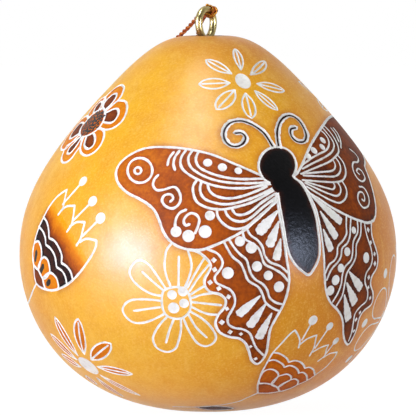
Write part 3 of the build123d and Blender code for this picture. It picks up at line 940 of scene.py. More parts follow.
def pointed_petal(base, tip, width, place=on_map, tone=None):
    """A petal with two bowed sides that meet in a point, with a line along its middle."""
    start, end = place([base, tip])
    along = end - start
    across = 1j * along / abs(along) * width / MILLIMETRES / 2 / radius_on(start)
    sides = [
        smooth_places([start + s * along + way * b * across for s, b in PETAL_SIDE])
        for way in (1, -1)
    ]
    if tone:
        fill_places(np.concatenate([sides[0], sides[1][::-1][1:-1]]), "burnt", tone)
    for side in sides:
        stroke_places(side, FINE_LINE_WIDTH)
    vein = np.linspace(start + PETAL_VEIN[0] * along, start + PETAL_VEIN[1] * along, VEIN_POINTS)
    stroke_places(vein, FINE_LINE_WIDTH)


def top_daisy(place):
    for base, tip, width in TOP_DAISY_PETALS:
        pointed_petal(base, tip, width, place)
    dot(
        TOP_DAISY_CENTRE, pixels_long(TOP_DAISY_HEART), place,
        sides=HEART_SIDES, stretch=TOP_DAISY_HEART_STRETCH,
    )


def leaf_flower(place):
    for base, tip, width in LEAF_FLOWER_PETALS:
        pointed_petal(base, tip, width, place, even(LEAF_FLOWER_TONE))
    dot(LEAF_FLOWER_CENTRE, LEAF_FLOWER_CENTRE_RADIUS, place, sides=HEART_SIDES)


def centre_daisy():
    for line in CENTRE_DAISY_LINES:
        stroke(line, width=FLOWER_LINE_WIDTH)
    stroke(CENTRE_DAISY_RING, width=FLOWER_LINE_WIDTH, closed=True)
    for x, y, size in CENTRE_DAISY_DOTS:
        dot((x, y), pixels_long(size))


def brown_flower(place):
    """Six double petals round a grained middle. Two are turned copies, as the photograph
    hides them."""
    middle = place([BROWN_FLOWER_CENTRE])[0]
    petal_tone, heart_tone, middle_tone = BROWN_FLOWER_TONES

    def opposite(pixels):
        return 2 * middle - place(pixels)

    copies = [(place, k) for k in range(4)] + [(opposite, 1), (opposite, 2)]
    for spot, k in copies:
        fill(BROWN_FLOWER_PETALS[k], even(petal_tone), place=spot)
        fill(BROWN_FLOWER_HEARTS[k], even(heart_tone), place=spot)
    fill(BROWN_FLOWER_RING, even(middle_tone), place=place)
    for spot, k in copies:
        stroke(BROWN_FLOWER_PETALS[k], place=spot)
        stroke(BROWN_FLOWER_HEARTS[k], place=spot)
    stroke(BROWN_FLOWER_RING, closed=True, place=place)
    ring = place(BROWN_FLOWER_RING) - middle
    for k in range(GRAIN_COUNT):
        share = math.sqrt((k + 0.5) / GRAIN_COUNT) * GRAIN_REACH
        spoke = np.exp(1j * k * GRAIN_TURN)
        reach = np.interp(np.angle(spoke), *sorted_by_angle(ring))
        grain = GRAIN_RADIUS + GRAIN_RADIUS_MORE * random.random()
        dot_place(
            middle + share * reach * spoke, grain, sides=GRAIN_SIDES, tag="black", depth=0,
            stretch=GRAIN_STRETCH, turn=random.uniform(0, GRAIN_LEAN_MOST),
        )


def sorted_by_angle(ring):
    """Angles and distances of a ring of places round its middle, for looking up."""
    order = np.argsort(np.angle(ring))
    angles, reaches = np.angle(ring)[order], np.abs(ring)[order]
    angles = np.concatenate([angles[-1:] - 2 * math.pi, angles, angles[:1] + 2 * math.pi])
    return angles, np.concatenate([reaches[-1:], reaches, reaches[:1]])


def joined(lines):
    """Pieces of a line put end to end, each smoothed by itself, so that their corners stay."""
    return np.concatenate([smooth(line)[:-1] for line in lines] + [np.array(lines[-1][-1:], float)])


def nearest(line, point):
    """Which of a line's points is nearest to a point."""
    return int(np.argmin(np.linalg.norm(line - np.array(point), axis=1)))


def smoke_from(line, edge):
    """A burnt area that fades from a line to an edge, with places inside it for its tones."""
    fill_places(np.concatenate([line, edge[::-1]]), "burnt", fading(line, edge, SMOKE_TONE))
    share = np.linspace(0, 1, SMOKE_PLACES)
    near, far = (look_up(share, np.linspace(0, 1, len(run)), run) for run in (line, edge))
    for step in np.linspace(0, 1, SMOKE_ROWS)[1:-1]:
        drawing.add_places(near * (1 - step) + far * step)


def tulip(place, side, rim, stamens, bands, petals, base, tones, slits, smoke, fine, pit):
    """A bell with a zigzag rim, its lower part burnt inside scalloped bands."""
    *band_tones, petal_tone, base_tone = tones
    if smoke:
        line, edge = joined(bands[0]), smooth(smoke)
        smoke_from(evenly(place(line), SMOKE_STEP), evenly(place(edge), SMOKE_STEP))
    foot = joined([rim[-1]])
    left = smooth(side)
    for band, tone in zip(bands, band_tones):
        top = joined(band)
        left_run, right_run = left[: nearest(left, top[0]) + 1], foot[nearest(foot, top[-1]):]
        fill_places(place(np.concatenate([top, right_run, left_run])), "burnt", even(tone))
    for petal in petals:
        fill(petal, even(petal_tone), place=place)
    left_run, right_run = left[: nearest(left, base[0]) + 1], foot[nearest(foot, base[-1]):]
    under = np.concatenate([smooth(base), right_run, left_run])
    fill_places(place(under), "burnt", even(base_tone))
    for start, end, width in slits:
        stroke([start, end], width=pixels_long(width), place=place, tag="black", depth=0)
    for petal in petals:
        stroke(petal, width=fine, closed=True, place=place)
    for line in [base, *bands[0], *bands[1], side, *rim]:
        stroke(line, width=fine, place=place)
    for root, head, size in stamens:
        stroke([root, head], width=fine, place=place)
        dot(head, pixels_long(size), place, depth=pit)


def left_tulip(place):
    tulip(
        place, LEFT_TULIP_SIDE, LEFT_TULIP_RIM, LEFT_TULIP_STAMENS, LEFT_TULIP_BANDS,
        LEFT_TULIP_PETALS, LEFT_TULIP_BASE, LEFT_TULIP_TONES, LEFT_TULIP_SLITS,
        LEFT_TULIP_SMOKE, LEFT_TULIP_LINE, DOT_DEPTH,
    )
    stroke(LEFT_TULIP_STEM, width=FINE_LINE_WIDTH, place=place)


def right_tulip():
    tulip(
        on_map, RIGHT_TULIP_SIDE, RIGHT_TULIP_RIM, RIGHT_TULIP_STAMENS, RIGHT_TULIP_BANDS,
        RIGHT_TULIP_PETALS, RIGHT_TULIP_BASE, RIGHT_TULIP_TONES, (), None,
        RIGHT_TULIP_LINE, DEEP_PIT,
    )
    stroke(RIGHT_TULIP_STEM, width=FINE_LINE_WIDTH)


def round_petal(base, tip, width, vein, line):
    """A rounded petal between two places on the map, with or without a line along it."""
    along = tip - base
    across = 1j * along / abs(along) * width / 2 / radius_on(base)
    rim = [base + s * along + w * across for s, w in ROUND_PETAL_SIDE]
    rim += [base + s * along - w * across for s, w in ROUND_PETAL_SIDE[-2::-1]]
    stroke_places(smooth_places(rim), line)
    if vein:
        start, end = (base + share * along for share in ROUND_PETAL_VEIN)
        stroke_places(np.linspace(start, end, VEIN_POINTS), line)


def daisy(middle, petals, reach, turn=0.0, beads=False, line=FLOWER_LINE_WIDTH):
    """A round daisy at a place on the map: its reach in metres, its turn in degrees."""
    scale = reach / radius_on(middle)
    ring_turns = np.arange(DAISY_HEART_POINTS) * 2 * math.pi / DAISY_HEART_POINTS
    stroke_places(middle + DAISY_HEART * scale * np.exp(1j * ring_turns), line, closed=True)
    for k in range(petals):
        way = np.exp(1j * (math.radians(turn) + 2 * math.pi * k / petals))
        share = random.uniform(*DAISY_WIDTH_SHARES)
        wide = DAISY_WIDTH * reach * math.sin(math.pi / petals) * share
        tip = middle + scale * random.uniform(*DAISY_REACH_SHARES) * way
        round_petal(middle + DAISY_HEART * scale * way, tip, wide, not beads, line)
        if beads:
            between = way * np.exp(1j * math.pi / petals)
            dot_place(middle + BEADS_SHARE * scale * between, BEAD_RADIUS)
    for k in range(DAISY_SEEDS):
        way = np.exp(1j * (DAISY_SEEDS_TURN + 2 * math.pi * k / DAISY_SEEDS))
        dot_place(middle + DAISY_SEEDS_SHARE * scale * way, DAISY_SEED_RADIUS)


# Where the motifs of the sides and back go: degrees round to the right, height, turn and size
BACK_MOTIFS = [
    (brown_flower, BROWN_FLOWER_CENTRE, [(150, 0.0600, 20, 1.0), (247, 0.0245, -30, 1.05)]),
    (left_tulip, LEFT_TULIP_CENTRE, [(176, 0.0300, 152, 1.0), (226, 0.0560, 205, 0.8)]),
    (top_daisy, TOP_DAISY_CENTRE, [(98, 0.0700, 10, 0.95), (188, 0.0640, 40, 1.05)]),
    (leaf_flower, LEAF_FLOWER_CENTRE, [(128, 0.0420, 30, 1.15), (205, 0.0130, 80, 1.0)]),
]
# Degrees round to the right, height, number of petals, reach and turn
BACK_DAISIES = [
    (140, 0.0165, 7, 0.0115, 10), (212, 0.0335, 8, 0.0115, 25), (261, 0.0430, 7, 0.0092, -22),
]


def draw_back():
    """The photograph hides this side, so it repeats the flowers of the front."""
    for draw, centre, copies in BACK_MOTIFS:
        for azimuth, height, turn, size in copies:
            draw(moved(centre, azimuth, height, turn, size))
    for azimuth, height, petals, reach, turn in BACK_DAISIES:
        daisy(round_back(azimuth, height), petals, reach, turn)


# The daisy at the right edge of the photograph, with beads between its petals
EDGE_DAISY = (85, 0.0206)
EDGE_DAISY_LINE = 0.00038
EDGE_DAISY_REACH = 0.0148
EDGE_DAISY_PETALS = 8
EDGE_DAISY_TURN = 22.5
UNDER_LEAF_TONE = 0.84
UNDER_LEAF = [
    (198, 407.6), (206, 406.2), (218, 406.4), (230, 407.4), (233, 408.4), (222, 409.8),
    (208, 409.6),
]


def draw_edge():
    middle = round_back(*EDGE_DAISY)
    daisy(
        middle, EDGE_DAISY_PETALS, EDGE_DAISY_REACH, EDGE_DAISY_TURN,
        beads=True, line=EDGE_DAISY_LINE,
    )
    fill(UNDER_LEAF, even(UNDER_LEAF_TONE))
    stroke(UNDER_LEAF, width=FINE_LINE_WIDTH, closed=True)


def draw_front():
    top_daisy(on_map)
    centre_daisy()
    leaf_flower(on_map)
    brown_flower(on_map)
    left_tulip(on_map)
    right_tulip()
    left_wing()
    right_wing()
    body()


draw_edge()
draw_back()
draw_front()


def mesh_object(name, vertices, faces, material, body, normals=None):
    mesh = bpy.data.meshes.new(name)
    mesh.from_pydata([tuple(v) for v in vertices], [], [tuple(f) for f in faces])
    mesh.validate()
    mesh.polygons.foreach_set("use_smooth", [True] * len(mesh.polygons))
    if normals is not None:
        mesh.normals_split_custom_set_from_vertices([tuple(n) for n in normals])
    mesh.materials.append(material)
    piece = bpy.data.objects.new(name, mesh)
    bpy.context.scene.collection.objects.link(piece)
    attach(piece, body)
    return piece


def add_attribute(piece, name, values):
    attribute = piece.data.attributes.new(name, "FLOAT", "POINT")
    attribute.data.foreach_set("value", np.asarray(values, np.float32))


# Materials


class Nodes:
    """A short way to write the node tree of a material or of the world."""

    def __init__(self, owner):
        self.owner = owner
        owner.use_nodes = True
        self.tree = owner.node_tree
        self.shader = self.tree.nodes.get("Principled BSDF")

    def add(self, kind, inputs=(), **settings):
        node = self.tree.nodes.new(kind)
        for key, value in settings.items():
            setattr(node, key, value)
        for key, value in dict(inputs).items():
            self.set(node.inputs[key], value)
        return node

    def set(self, socket, value):
        if isinstance(value, bpy.types.NodeSocket):
            self.tree.links.new(value, socket)
        else:
            socket.default_value = value

    def noise(self, scale, detail=3.0, roughness=0.5, distortion=0.0, stretch=(1, 1, 1)):
        place = self.add("ShaderNodeTexCoord").outputs["Object"]
        if stretch != (1, 1, 1):
            place = self.add("ShaderNodeMapping", {"Vector": place, "Scale": stretch}).outputs[0]
        return self.add("ShaderNodeTexNoise", {
            "Vector": place, "Scale": scale, "Detail": detail, "Roughness": roughness,
            "Distortion": distortion,
        }).outputs["Fac"]

    def ramp(self, value, stops):
        node = self.add("ShaderNodeValToRGB", {"Fac": value})
        bands = node.color_ramp.elements
        while len(bands) < len(stops):
            bands.new(0.5)
        for band, (place, shade) in zip(bands, stops):
            band.position = place
            band.color = shade
        return node.outputs["Color"]

    def mix(self, share, a, b):
        node = self.add("ShaderNodeMix", data_type="RGBA")
        for key, value in (("Factor", share), ("A", a), ("B", b)):
            self.set(next(s for s in node.inputs if s.name == key and s.enabled), value)
        return next(s for s in node.outputs if s.enabled)

    def math(self, kind, a, b, clamp=False):
        return self.add(
            "ShaderNodeMath", {0: a, 1: b}, operation=kind, use_clamp=clamp
        ).outputs[0]

    def sum(self, *values):
        total = values[0]
        for value in values[1:]:
            total = self.math("ADD", total, value)
        return total

    def times(self, a, b):
        return self.math("MULTIPLY", a, b)

    def spread(self, value, low, high, new_low=0.0, new_high=1.0):
        """Carries the range from low to high over to another, and holds it there."""
        return self.add("ShaderNodeMapRange", {
            "Value": value, "From Min": low, "From Max": high, "To Min": new_low,
            "To Max": new_high,
        }).outputs[0]

    def attribute(self, name):
        return self.add("ShaderNodeAttribute", attribute_name=name).outputs["Fac"]

    def bump(self, height, distance, strength):
        return self.add(
            "ShaderNodeBump", {"Height": height, "Distance": distance, "Strength": strength}
        ).outputs[0]

    def finish(self, **inputs):
        for key, value in inputs.items():
            self.set(self.shader.inputs[key.replace("_", " ")], value)
        return self.owner


def new_material(name):
    return Nodes(bpy.data.materials.new(name))


def bare_rind(n):
    """Colour and height of the rind where no tool touched it, with painted shade and a painted
    sheen in its colour.
    """
    broad = n.noise(28, 3, 0.5, 0.4)
    fine = n.noise(230, 4, 0.6)
    grain = n.noise(2100, 2, 0.6)
    fibres = n.noise(260, 5, 0.7, 0.3, (1, 1, 0.2))
    bare = n.ramp(broad, [
        (0.30, colour(240, 167, 4)), (0.50, colour(246, 179, 8)), (0.72, colour(249, 192, 26)),
    ])
    place = n.add("ShaderNodeTexCoord").outputs["Object"]
    apart = n.add("ShaderNodeSeparateXYZ", {0: place}).outputs
    side, up = apart["X"], apart["Z"]
    # Painted shade: deeper orange on the low right side, at the left edge and at the crown
    above_belly = n.math("SUBTRACT", up, BELLY_HEIGHT)
    shade_side = n.math("SUBTRACT", side, n.times(above_belly, 0.35))
    shade_side = n.sum(shade_side, n.spread(up, 0.071, 0.084, 0.0, 0.028), n.times(broad, 0.02))
    painted_shade = n.times(n.spread(shade_side, 0.004, 0.046), 0.9)
    painted_shade = n.sum(painted_shade, n.spread(side, -0.042, -0.028, 0.4, 0.0))
    painted_shade = n.math("ADD", painted_shade, n.spread(up, 0.072, 0.084, 0.0, 0.28), clamp=True)
    bare = n.mix(painted_shade, bare, colour(216, 124, 2))
    # Painted sheen: paler, bluer colour on the low left side, where the broad gloss falls
    painted_sheen = n.times(
        n.spread(up, 0.030, 0.044, 0.55, 0.0), n.spread(side, -0.037, -0.026, 0.0, 1.0)
    )
    painted_sheen = n.times(painted_sheen, n.spread(side, -0.006, 0.014, 1.0, 0.0))
    bare = n.mix(painted_sheen, bare, colour(246, 184, 66))
    for share, shade in (
        (n.spread(fine, 0.42, 0.70, 0.0, 0.30), colour(228, 138, 4)),
        (n.spread(fibres, 0.50, 0.70, 0.0, 0.38), colour(253, 204, 92)),
        (n.spread(grain, 0.52, 0.68, 0.0, 0.20), colour(214, 124, 4)),
        (n.spread(grain, 0.34, 0.48, 0.26, 0.0), colour(254, 212, 110)),
    ):
        bare = n.mix(share, bare, shade)
    height = n.sum(broad, n.times(n.sum(fine, fibres), 0.06), n.times(grain, 0.10))
    return bare, height


def rind_material():
    """Waxed bare rind, a little scorched beside the burnt areas."""
    n = new_material("waxed_rind")
    bare, height = bare_rind(n)
    spots = n.noise(230, 4, 0.6)
    scorch = n.times(n.attribute("scorch"), n.spread(spots, 0.2, 0.7, 0.55, 1.0))
    return n.finish(
        Base_Color=n.mix(scorch, bare, colour(176, 82, 14)),
        Roughness=n.spread(spots, 0.3, 0.7, 0.35, 0.46),
        Coat_Weight=0.06,
        Coat_Roughness=0.28,
        Specular_IOR_Level=0.22,
        Normal=n.bump(height, 0.0009, 0.6),
    )


def burnt_material():
    """Rind darkened with a hot point, matt, and darker where its tone is higher."""
    n = new_material("burnt_rind")
    bare, height = bare_rind(n)
    blot = n.noise(95, 4, 0.6, 0.5)
    speck = n.noise(1400, 2, 0.6)
    streak = n.noise(330, 4, 0.65, 0.3, (1, 1, 0.3))
    tone = n.attribute("tone")
    burnt = n.spread(tone, 0.0, 0.3)
    uneven = n.sum(
        n.spread(blot, 0.3, 0.7, -0.07, 0.07),
        n.spread(speck, 0.35, 0.65, -0.05, 0.05),
        n.spread(streak, 0.35, 0.65, -0.04, 0.04),
    )
    rim = n.times(n.times(n.attribute("edge"), 0.12), burnt)
    dark = n.math("ADD", n.sum(tone, n.times(uneven, burnt)), rim, clamp=True)
    base = n.ramp(dark, [
        (0.0, colour(238, 150, 6)), (0.16, colour(226, 128, 6)), (0.40, colour(184, 86, 6)),
        (0.60, colour(132, 58, 10)), (0.80, colour(72, 32, 16)), (1.0, colour(14, 8, 7)),
    ])
    return n.finish(
        Base_Color=n.mix(n.spread(dark, 0.0, 0.14), bare, base),
        Roughness=n.spread(dark, 0.0, 0.6, 0.44, 0.52),
        Specular_IOR_Level=0.06,
        Normal=n.bump(n.sum(height, n.times(blot, 0.4)), 0.0006, 0.5),
    )


def charred_material():
    """Rind burnt black, with a slight shine."""
    n = new_material("charred_rind")
    soot = n.noise(1500, 3, 0.6)
    streak = n.noise(60, 3, 0.5)
    base = n.ramp(soot, [
        (0.35, colour(4, 3, 3)), (0.6, colour(10, 9, 10)), (0.8, colour(20, 20, 22)),
    ])
    return n.finish(
        Base_Color=n.mix(n.times(n.attribute("edge"), 0.8), base, colour(64, 24, 8)),
        Roughness=n.spread(streak, 0.3, 0.7, 0.27, 0.33),
        Specular_IOR_Level=0.15,
        Normal=n.bump(soot, 0.00012, 0.8),
    )


def carved_material():
    """The pale flesh under the rind's skin."""
    n = new_material("carved_flesh")
    fibre = n.noise(700, 4, 0.6)
    wide = n.noise(90, 3, 0.5)
    base = n.ramp(fibre, [
        (0.3, colour(228, 225, 220)), (0.5, colour(248, 247, 245)), (0.8, colour(253, 253, 252)),
    ])
    return n.finish(
        Base_Color=n.mix(n.times(n.spread(wide, 0.5, 0.75), 0.22), base, colour(238, 230, 214)),
        Roughness=0.75,
        Specular_IOR_Level=0.2,
        Normal=n.bump(n.sum(fibre, wide), 0.0002, 0.7),
    )


def wood_material():
    n = new_material("stem_wood")
    rings = n.noise(420, 4, 0.6, 0.5, (1, 1, 0.15))
    fibre = n.noise(1500, 3, 0.6, 0.0, (1, 1, 0.2))
    base = n.ramp(rings, [
        (0.3, colour(150, 92, 40)), (0.55, colour(206, 144, 74)), (0.8, colour(228, 176, 104)),
    ])
    return n.finish(
        Base_Color=base, Roughness=0.6, Normal=n.bump(n.sum(rings, fibre), 0.0002, 0.6)
    )


def brass_material():
    n = new_material("brass")
    wear = n.noise(700, 4, 0.6)
    base = n.ramp(wear, [
        (0.3, colour(158, 140, 86)), (0.6, colour(180, 160, 104)), (0.85, colour(200, 182, 130)),
    ])
    return n.finish(
        Base_Color=base, Metallic=1.0, Roughness=n.spread(wear, 0.3, 0.7, 0.26, 0.30)
    )


def fibrous_material(name, noise, dark, light, roughness, bump, **more):
    """Two tones that follow one grain: its noise, and the bump's distance and strength."""
    n = new_material(name)
    grain = n.noise(*noise)
    return n.finish(
        Base_Color=n.ramp(grain, [(0.3, colour(*dark)), (0.7, colour(*light))]),
        Roughness=roughness,
        Normal=n.bump(grain, *bump),
        **more,
    )


def thread_material(name, dark, light):
    return fibrous_material(
        name, (5000, 3, 0.6), dark, light, 0.6, (0.00005, 0.8), Specular_IOR_Level=0.1
    )


# The carved shell


def tree_of(points, labels):
    """A tree that finds the nearest of some points, each known by its label."""
    tree = kdtree.KDTree(len(points))
    for point, label in zip(points, labels):
        tree.insert(point, int(label))
    tree.balance()
    return tree


def grid_places():
    """Evenly spread places over the outer face."""
    places = []
    rise = profile_map[FIRST_ROW]
    row = 0
    while rise < profile_map[-1] - 0.5 * SKIN_SPACING / STEM_RADIUS:
        radius = float(np.interp(rise, profile_map, profile_radius))
        count = max(int(2 * math.pi * radius / SKIN_SPACING), 6)
        angles = (np.arange(count) + 0.5 * (row % 2)) * 2 * math.pi / count
        places.extend(angles + 1j * rise)
        rise += ROW_SHARE * SKIN_SPACING / radius
        row += 1
    return np.array(places)


def ring_places(rise, count):
    return np.arange(count) * 2 * math.pi / count + 1j * rise


def carve():
    """Splits the outer face along every line of the drawing. Gives the places, the triangles
    and the last shape drawn on each triangle."""
    drawn = np.array(drawing.places)
    near_drawn = tree_of(in_space(drawn), range(len(drawn)))
    grid = grid_places()
    keep = [near_drawn.find(p)[2] > SKIN_CLEARANCE for p in in_space(grid)]
    rim = ring_places(profile_map[-1], RIM_SIDES)
    foot = ring_places(profile_map[foot_index], FOOT_SIDES)
    places = np.concatenate([drawn, grid[np.array(keep)], rim, foot])
    flat = np.exp(places.imag - 1j * places.real)
    corners = [Vector((z.real, z.imag)) for z in flat]
    found = geometry.delaunay_2d_cdt(corners, [], drawing.faces, 0, LEAST_GAP)
    flat = np.array([complex(v[0], v[1]) for v in found[0]])
    flat[np.abs(flat) < MIDDLE_GAP] = MIDDLE_GAP
    places = -np.angle(flat) + 1j * np.log(np.abs(flat))
    triangles = np.array([list(f) for f in found[2]])
    top_shape = np.array(
        [max((drawing.shape_of_face[f] for f in faces), default=-1) for faces in found[5]]
    )
    return places, triangles, top_shape


def groove_depths(places, space, wanted):
    """How deep the gouge runs under each wanted vertex."""
    depths = np.zeros(len(places))
    for wide in (False, True):
        marks = [g for g in drawing.grooves if (g[1] > LINE_WIDTH) == wide]
        tree = tree_of(in_space(np.array([g[0] for g in marks])), range(len(marks)))
        reach = max(g[1] for g in marks)
        steep = WIDE_PIT_STEEPNESS if wide else 1.0
        for index in wanted:
            for _, mark, away in tree.find_range(space[index], reach):
                _, half, depth = marks[mark]
                if away < half:
                    sunk = depth * min(1.0, steep * (1 - away / half))
                    depths[index] = max(depths[index], sunk)
    return depths


def closeness(points, tree, reach):
    """From 1 on the tree's points to 0 at a distance from them."""
    away = np.array([tree.find(p)[2] for p in points])
    return np.clip(1 - away / reach, 0, 1)


def make_gourd(materials):
    """The outer face in four pieces, one for each tag."""
    places, triangles, top_shape = carve()
    tags = np.array([drawing.shapes[s][0] if s >= 0 else "skin" for s in top_shape])
    white = np.unique(triangles[tags == "white"])
    space = in_space(places, groove_depths(places, in_space(places), white))
    normals = normals_at(places)

    tones = np.zeros(len(places))
    for shape, (tag, tone) in enumerate(drawing.shapes):
        if tag == "burnt":
            corners = np.unique(triangles[top_shape == shape])
            if len(corners):
                tones[corners] = tone(places[corners])

    burnt = np.unique(triangles[(tags == "burnt") | (tags == "black")])
    burnt = burnt[(tones[burnt] > SCORCHING_TONE) | (tones[burnt] == 0)]
    near_burnt = tree_of(space[burnt], burnt)
    near_white = tree_of(space[white], white)

    pieces = []
    for tag, name in (
        ("skin", "gourd_skin"),
        ("white", "carved_lines"),
        ("burnt", "burnt_areas"),
        ("black", "charred_areas"),
    ):
        used, own = np.unique(triangles[tags == tag], return_inverse=True)
        piece = mesh_object(
            name, space[used], own.reshape(-1, 3), materials[tag], "gourd",
            normals=None if tag == "white" else normals[used],
        )
        if tag == "skin":
            scorch = closeness(space[used], near_burnt, SCORCH_REACH) ** 2
            add_attribute(piece, "scorch", scorch)
        if tag in ("burnt", "black"):
            add_attribute(piece, "tone", tones[used])
            add_attribute(piece, "edge", closeness(space[used], near_white, EDGE_REACH))
        pieces.append(piece)
    return pieces


def make_inside(material):
    """The cavity's wall and the wall of the hole for the stem stub."""
    inner = outline(RIND_WALL, INSIDE_POINTS)
    inner = inner[inner[:, 0] > STEM_RADIUS]
    inner_top = float(np.interp(-STEM_RADIUS, -inner[::-1, 0][::-1], inner[:, 1]))
    rows = [
        (INSIDE_MIDDLE, RIND_WALL), *map(tuple, inner),
        (STEM_RADIUS, inner_top), (STEM_RADIUS, profile_height[-1]),
    ]
    vertices, faces = [], []
    for radius, height in rows:
        for k in range(RIM_SIDES):
            angle = 2 * math.pi * k / RIM_SIDES
            vertices.append((radius * math.cos(angle), radius * math.sin(angle), height))
    for row in range(len(rows) - 1):
        for k in range(RIM_SIDES):
            a, b = row * RIM_SIDES + k, row * RIM_SIDES + (k + 1) % RIM_SIDES
            faces.append((a, a + RIM_SIDES, b + RIM_SIDES, b))
    faces.append(tuple(range(RIM_SIDES)))
    return mesh_object("rind_inside", vertices, faces, material, "gourd")


# The hanging loop: its route is the CAD part's, in metres
CORD_ROUTE = [
    (-0.0006, 0.0023, 0.0905), (-0.0030, 0.0047, 0.0874), (-0.0057, 0.0073, 0.0846),
    (-0.0087, 0.0100, 0.0820), (-0.0123, 0.0133, 0.0783), (-0.0179, 0.0181, 0.0707),
    (-0.0234, 0.0234, 0.0619), (-0.0276, 0.0287, 0.0517), (-0.0297, 0.0321, 0.0398),
    (-0.0295, 0.0334, 0.0275), (-0.0270, 0.0354, 0.0165), (-0.0216, 0.0388, 0.0110),
    (-0.0160, 0.0414, 0.0160), (-0.0136, 0.0422, 0.0270), (-0.0127, 0.0419, 0.0398),
    (-0.0104, 0.0383, 0.0517), (-0.0076, 0.0320, 0.0619), (-0.0051, 0.0246, 0.0709),
    (-0.0033, 0.0173, 0.0787), (-0.0023, 0.0111, 0.0834), (-0.0021, 0.0060, 0.0864),
    (-0.0009, 0.0019, 0.0883),
]
CORD_DIAMETER = 0.001
CORD_RESOLUTION = 24
STRAND_PITCH = 0.0024
STRAND_STEP = STRAND_PITCH / 12
STRAND_SIDES = 8
STRAND_OVERLAP = 1.04
# Any direction that no cord starts along
FIRST_SIDE = (0.3, 0.1, 0.95)


def spline_points(route):
    """Points along the smooth line of a cord, from its NURBS spline."""
    curve = bpy.data.curves.new("route", "CURVE")
    curve.dimensions = "3D"
    curve.resolution_u = CORD_RESOLUTION
    spline = curve.splines.new("NURBS")
    spline.points.add(len(route) - 1)
    for point, place in zip(spline.points, route):
        point.co = (*place, 1)
    spline.order_u = 3
    spline.use_endpoint_u = True
    holder = bpy.data.objects.new("route", curve)
    bpy.context.scene.collection.objects.link(holder)
    bpy.context.view_layer.update()
    mesh = bpy.data.meshes.new_from_object(holder)
    points = np.array([v.co for v in mesh.vertices])
    bpy.data.objects.remove(holder)
    bpy.data.meshes.remove(mesh)
    bpy.data.curves.remove(curve)
    return points


def evenly_in_space(points, step):
    run = np.concatenate([[0], np.cumsum(np.linalg.norm(np.diff(points, axis=0), axis=1))])
    along = np.linspace(0, run[-1], max(int(run[-1] / step), 2))
    return np.column_stack([np.interp(along, run, points[:, k]) for k in range(3)]), along


def frames_along(points):
    """Two directions across the line at each point, without twist."""
    ahead = np.gradient(points, axis=0)
    ahead /= np.linalg.norm(ahead, axis=1)[:, None]
    side = np.cross(ahead[0], FIRST_SIDE)
    side /= np.linalg.norm(side)
    sides = []
    for way in ahead:
        side = side - way * (side @ way)
        side /= np.linalg.norm(side)
        sides.append(side)
    sides = np.array(sides)
    return sides, np.cross(ahead, sides)


def tube(points, radius, sides):
    """Vertices and faces of a closed tube round a line."""
    side, up = frames_along(points)
    vertices, faces = [], []
    for point, a, b in zip(points, side, up):
        for k in range(sides):
            angle = 2 * math.pi * k / sides
            vertices.append(point + radius * (math.cos(angle) * a + math.sin(angle) * b))
    for ring in range(len(points) - 1):
        for k in range(sides):
            a, b = ring * sides + k, ring * sides + (k + 1) % sides
            faces.append((a, b, b + sides, a + sides))
    faces.append(tuple(range(sides))[::-1])
    last = (len(points) - 1) * sides
    faces.append(tuple(range(last, last + sides)))
    return vertices, faces


def strand(points, along, phase, width, pitch):
    """One of the two strands of a cord, a tube that winds round the cord's line."""
    side, up = frames_along(points)
    angle = (2 * math.pi * along / pitch + phase)[:, None]
    line = points + width / 4 * (np.cos(angle) * side + np.sin(angle) * up)
    return tube(line, width / 4 * STRAND_OVERLAP, STRAND_SIDES)


def twisted(lines, width, pitch):
    """Two-strand cord along several lines. The last list says which strand a face is of."""
    vertices, faces, owner = [], [], []
    for line in lines:
        points, along = evenly_in_space(line, STRAND_STEP)
        for which, phase in enumerate((0, math.pi)):
            own_vertices, own_faces = strand(points, along, phase, width, pitch)
            start = len(vertices)
            vertices.extend(own_vertices)
            faces.extend(tuple(start + i for i in face) for face in own_faces)
            owner.extend([which] * len(own_faces))
    return vertices, faces, owner


def cord_piece_of(name, lines, width, materials, body, node, pitch=STRAND_PITCH):
    vertices, faces, owner = twisted(lines, width, pitch)
    piece = mesh_object(name, vertices, faces, materials[0], body)
    piece.data.materials.append(materials[1])
    piece.data.polygons.foreach_set("material_index", owner)
    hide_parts(node)
    return piece


def make_cord(materials):
    line = spline_points(CORD_ROUTE)
    piece = cord_piece_of(
        "hanging_loop", [line], CORD_DIAMETER, materials, "loop", "hanger_cord"
    )
    return piece, line


# The ring of the screw eye, where the knot sits on it
RING_RADIUS = 0.002895
RING_CENTRE = np.array([-0.000452, -0.00066, 0.08715])
RING_TURN = math.radians(55.6)
RING_ALONG = np.array([math.cos(RING_TURN), math.sin(RING_TURN), 0])
RING_UP = np.array([0, 0, 1.0])
RING_ACROSS = np.cross(RING_ALONG, RING_UP)
KNOT_ANGLE = math.radians(31)
KNOT_FROM = math.radians(20)
KNOT_TO = math.radians(48)
KNOT_TURNS = 2.4
KNOT_START_TURN = 2.6
KNOT_POINTS = 90
KNOT_CORD_DIAMETER = 0.00072
KNOT_STRAND_PITCH = 0.0045
KNOT_WRAP_RADIUS = 0.00116
# The strands beside the wraps: four handles each, as degrees from the ring's top, how far out
# from the ring and how far square to it
KNOT_STRANDS = [
    [(31, -0.0004, 0.0008), (31, 0.0004, 0.0013), (31, 0.0006, 0.0015), (31, 0.0002, 0.0020)],
    [(22, 0.0008, -0.0004), (16, 0.0011, -0.0002), (8, 0.0011, 0.0), (0, 0.00085, 0.0002)],
    [(22, 0.0009, 0.0009), (26, 0.0008, 0.0017), (40, 0.0002, 0.0019), (48, -0.0009, 0.0009)],
]
TAIL_POINTS = 24
# The ends of the loop inside the knot: how far from the wire's middle, and their handles
LOOP_END_OUT = 0.00138
LOOP_END_BACK = 0.0003
LOOP_END_AHEAD = 0.0006
LOOP_END_BEND = 0.0005


def on_ring(angle, out=0.0, across=0.0):
    """A point by the wire: its angle from the ring's top, out from the ring, and square to it."""
    radial = math.sin(angle) * RING_ALONG + math.cos(angle) * RING_UP
    return RING_CENTRE + (RING_RADIUS + out) * radial + across * RING_ACROSS


